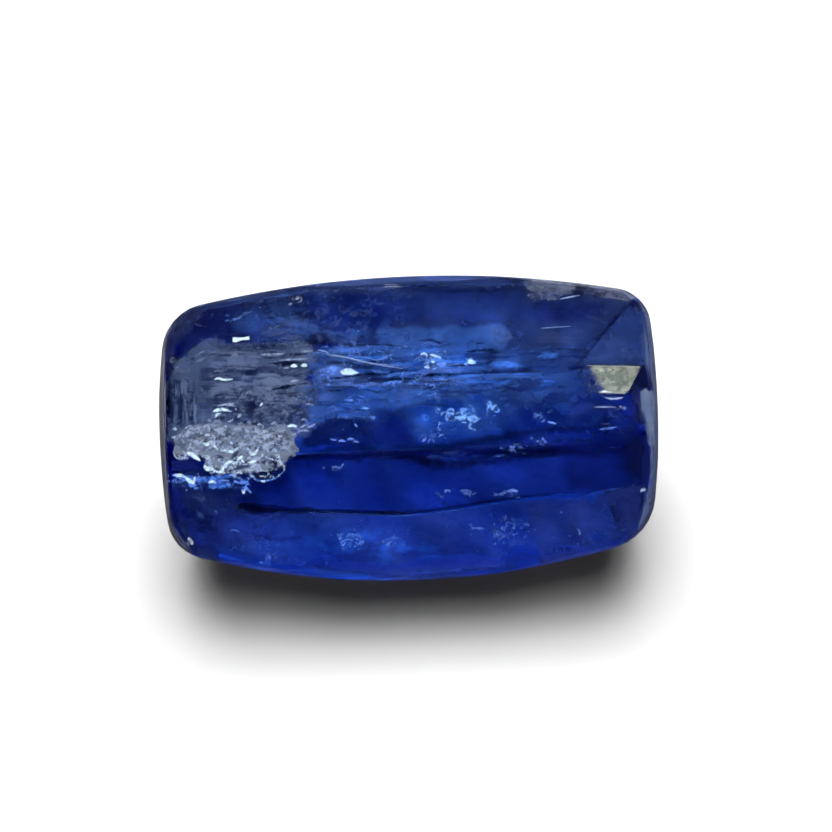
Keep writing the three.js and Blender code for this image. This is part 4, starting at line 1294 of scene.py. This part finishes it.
def makeFloor(look):
    half = look["floorSize"]
    corners = np.array([[-half, -half], [half, -half], [half, half], [-half, half]])
    corners = np.column_stack((corners, np.full(4, -look["airGap"])))
    mesh = bpy.data.meshes.new("floor")
    mesh.from_pydata(corners.tolist(), [], [(0, 1, 2, 3)])
    floor = bpy.data.objects.new("floor", mesh)
    bpy.context.scene.collection.objects.link(floor)
    material, nodes, links = newMaterial("pale_floor")
    shader = nodes["Principled BSDF"]
    setSocket(shader, "Base Color", (*[look["floorColour"]] * 3, 1.0))
    setSocket(shader, "Roughness", 0.9)
    setSocket(shader, "Specular IOR Level", 0.0)
    mesh.materials.append(material)
    floor.visible_glossy = False      # polished flats mirror dark cards in place of the floor


worldLook = {
    "byHeight": ((-10, 0.80), (8, 0.80), (25, 0.95), (62, 0.95), (78, 0.80), (90, 0.80)),
    # Dim round patches: azimuth and height, inner and outer radius in degrees, how bright inside
    "patches": (
        (270, 55, 4, 12, 0.0),
        (270, 78, 4, 18, 0.45),
        (90, 39, 8, 30, 0.65),
    ),
    "onMatt": 0.36,                       # what lights the floor and other matt surfaces
    "cards": (10, 38, 0.03),              # mirrored only: dark below the first height, full above the second
}


def wayTo(azimuth, height):
    # The direction with that azimuth, 0 at +X and 90 at +Y, and that height above the horizon
    turn, rise = math.radians(azimuth), math.radians(height)
    return Vector((math.cos(rise) * math.cos(turn), math.cos(rise) * math.sin(turn), math.sin(rise)))


def makeWorld(look):
    # Brightness by height above the horizon, dimmed in round patches
    world = bpy.data.worlds.new("studio")
    bpy.context.scene.world = world
    world.use_nodes = True
    world.cycles.sampling_method = "NONE"     # so that matt surfaces see only their own dimmer world
    nodes, links = world.node_tree.nodes, world.node_tree.links
    nodes.clear()
    out = nodes.new("ShaderNodeOutputWorld")
    where = nodes.new("ShaderNodeTexCoord")
    parts = nodes.new("ShaderNodeSeparateXYZ")
    links.new(where.outputs["Generated"], parts.inputs[0])
    rise = nodes.new("ShaderNodeMath")
    rise.operation = "ARCSINE"
    links.new(parts.outputs["Z"], rise.inputs[0])
    share = nodes.new("ShaderNodeMapRange")
    setSocket(share, "From Min", math.radians(-90))
    setSocket(share, "From Max", math.radians(90))
    links.new(rise.outputs[0], share.inputs["Value"])
    ramp = nodes.new("ShaderNodeValToRGB")
    while len(ramp.color_ramp.elements) < len(look["byHeight"]):
        ramp.color_ramp.elements.new(0.5)
    for stop, (degrees, bright) in zip(ramp.color_ramp.elements, look["byHeight"]):
        stop.position = (degrees + 90) / 180
        stop.color = (bright, bright, bright, 1)
    links.new(share.outputs["Result"], ramp.inputs["Fac"])
    bright = ramp.outputs["Color"]
    for azimuth, height, inner, outer, dim in look["patches"]:
        toward = nodes.new("ShaderNodeVectorMath")
        toward.operation = "DOT_PRODUCT"
        toward.inputs[1].default_value = wayTo(azimuth, height)
        links.new(where.outputs["Generated"], toward.inputs[0])
        patch = addRange(nodes, links, toward.outputs["Value"],
                         math.cos(math.radians(outer)), math.cos(math.radians(inner)), 1.0, dim)
        bright = addMath(nodes, links, "MULTIPLY", bright, patch)
    rays = nodes.new("ShaderNodeLightPath")
    low, high, dark = look["cards"]
    cards = addRange(nodes, links, rise.outputs[0], math.radians(low), math.radians(high), 1.0 - dark, 0.0)
    hidden = addMath(nodes, links, "MULTIPLY", cards, rays.outputs["Is Reflection Ray"])
    bright = addMath(nodes, links, "MULTIPLY", bright, addMath(nodes, links, "SUBTRACT", 1.0, hidden))
    room = nodes.new("ShaderNodeBackground")
    links.new(bright, room.inputs["Color"])
    matt = nodes.new("ShaderNodeBackground")
    setSocket(matt, "Strength", look["onMatt"])
    plain = nodes.new("ShaderNodeBackground")
    setSocket(plain, "Color", (1, 1, 1, 1))
    mixMatt = nodes.new("ShaderNodeMixShader")
    links.new(rays.outputs["Is Diffuse Ray"], mixMatt.inputs["Fac"])
    links.new(room.outputs[0], mixMatt.inputs[1])
    links.new(matt.outputs[0], mixMatt.inputs[2])
    mix = nodes.new("ShaderNodeMixShader")
    links.new(rays.outputs["Is Camera Ray"], mix.inputs["Fac"])
    links.new(mixMatt.outputs[0], mix.inputs[1])
    links.new(plain.outputs[0], mix.inputs[2])
    links.new(mix.outputs[0], out.inputs["Surface"])


sunLook = {
    # Rows of soft suns behind the stone: height above the horizon, width in degrees, share of the light
    "rows": ((78, 60, 0.24), (61, 50, 0.28), (46, 38, 0.25), (34, 26, 0.23)),
    "azimuths": (68, 90, 112),
    "lit": 1.2,                          # how bright the open floor becomes
}


def makeSuns(look, floorColour):
    for height, width, share in look["rows"]:
        each = share * look["lit"] * math.pi / floorColour / len(look["azimuths"])
        for azimuth in look["azimuths"]:
            name = f"sun_{height}_{azimuth}"
            light = bpy.data.lights.new(name, "SUN")
            light.energy = each / math.sin(math.radians(height))
            light.angle = math.radians(width)
            light.cycles.use_multiple_importance_sampling = False
            sun = bpy.data.objects.new(name, light)
            bpy.context.scene.collection.objects.link(sun)
            sun.rotation_euler = wayTo(azimuth, height).to_track_quat("Z", "Y").to_euler()


makeFloor(studioLook)
makeWorld(worldLook)
makeSuns(sunLook, studioLook["floorColour"])

scene = bpy.context.scene
scene.view_settings.view_transform = "Standard"
scene.cycles.max_bounces = 24
scene.cycles.glossy_bounces = 16
scene.cycles.transmission_bounces = 16
scene.cycles.transparent_max_bounces = 24
print("studio ready")
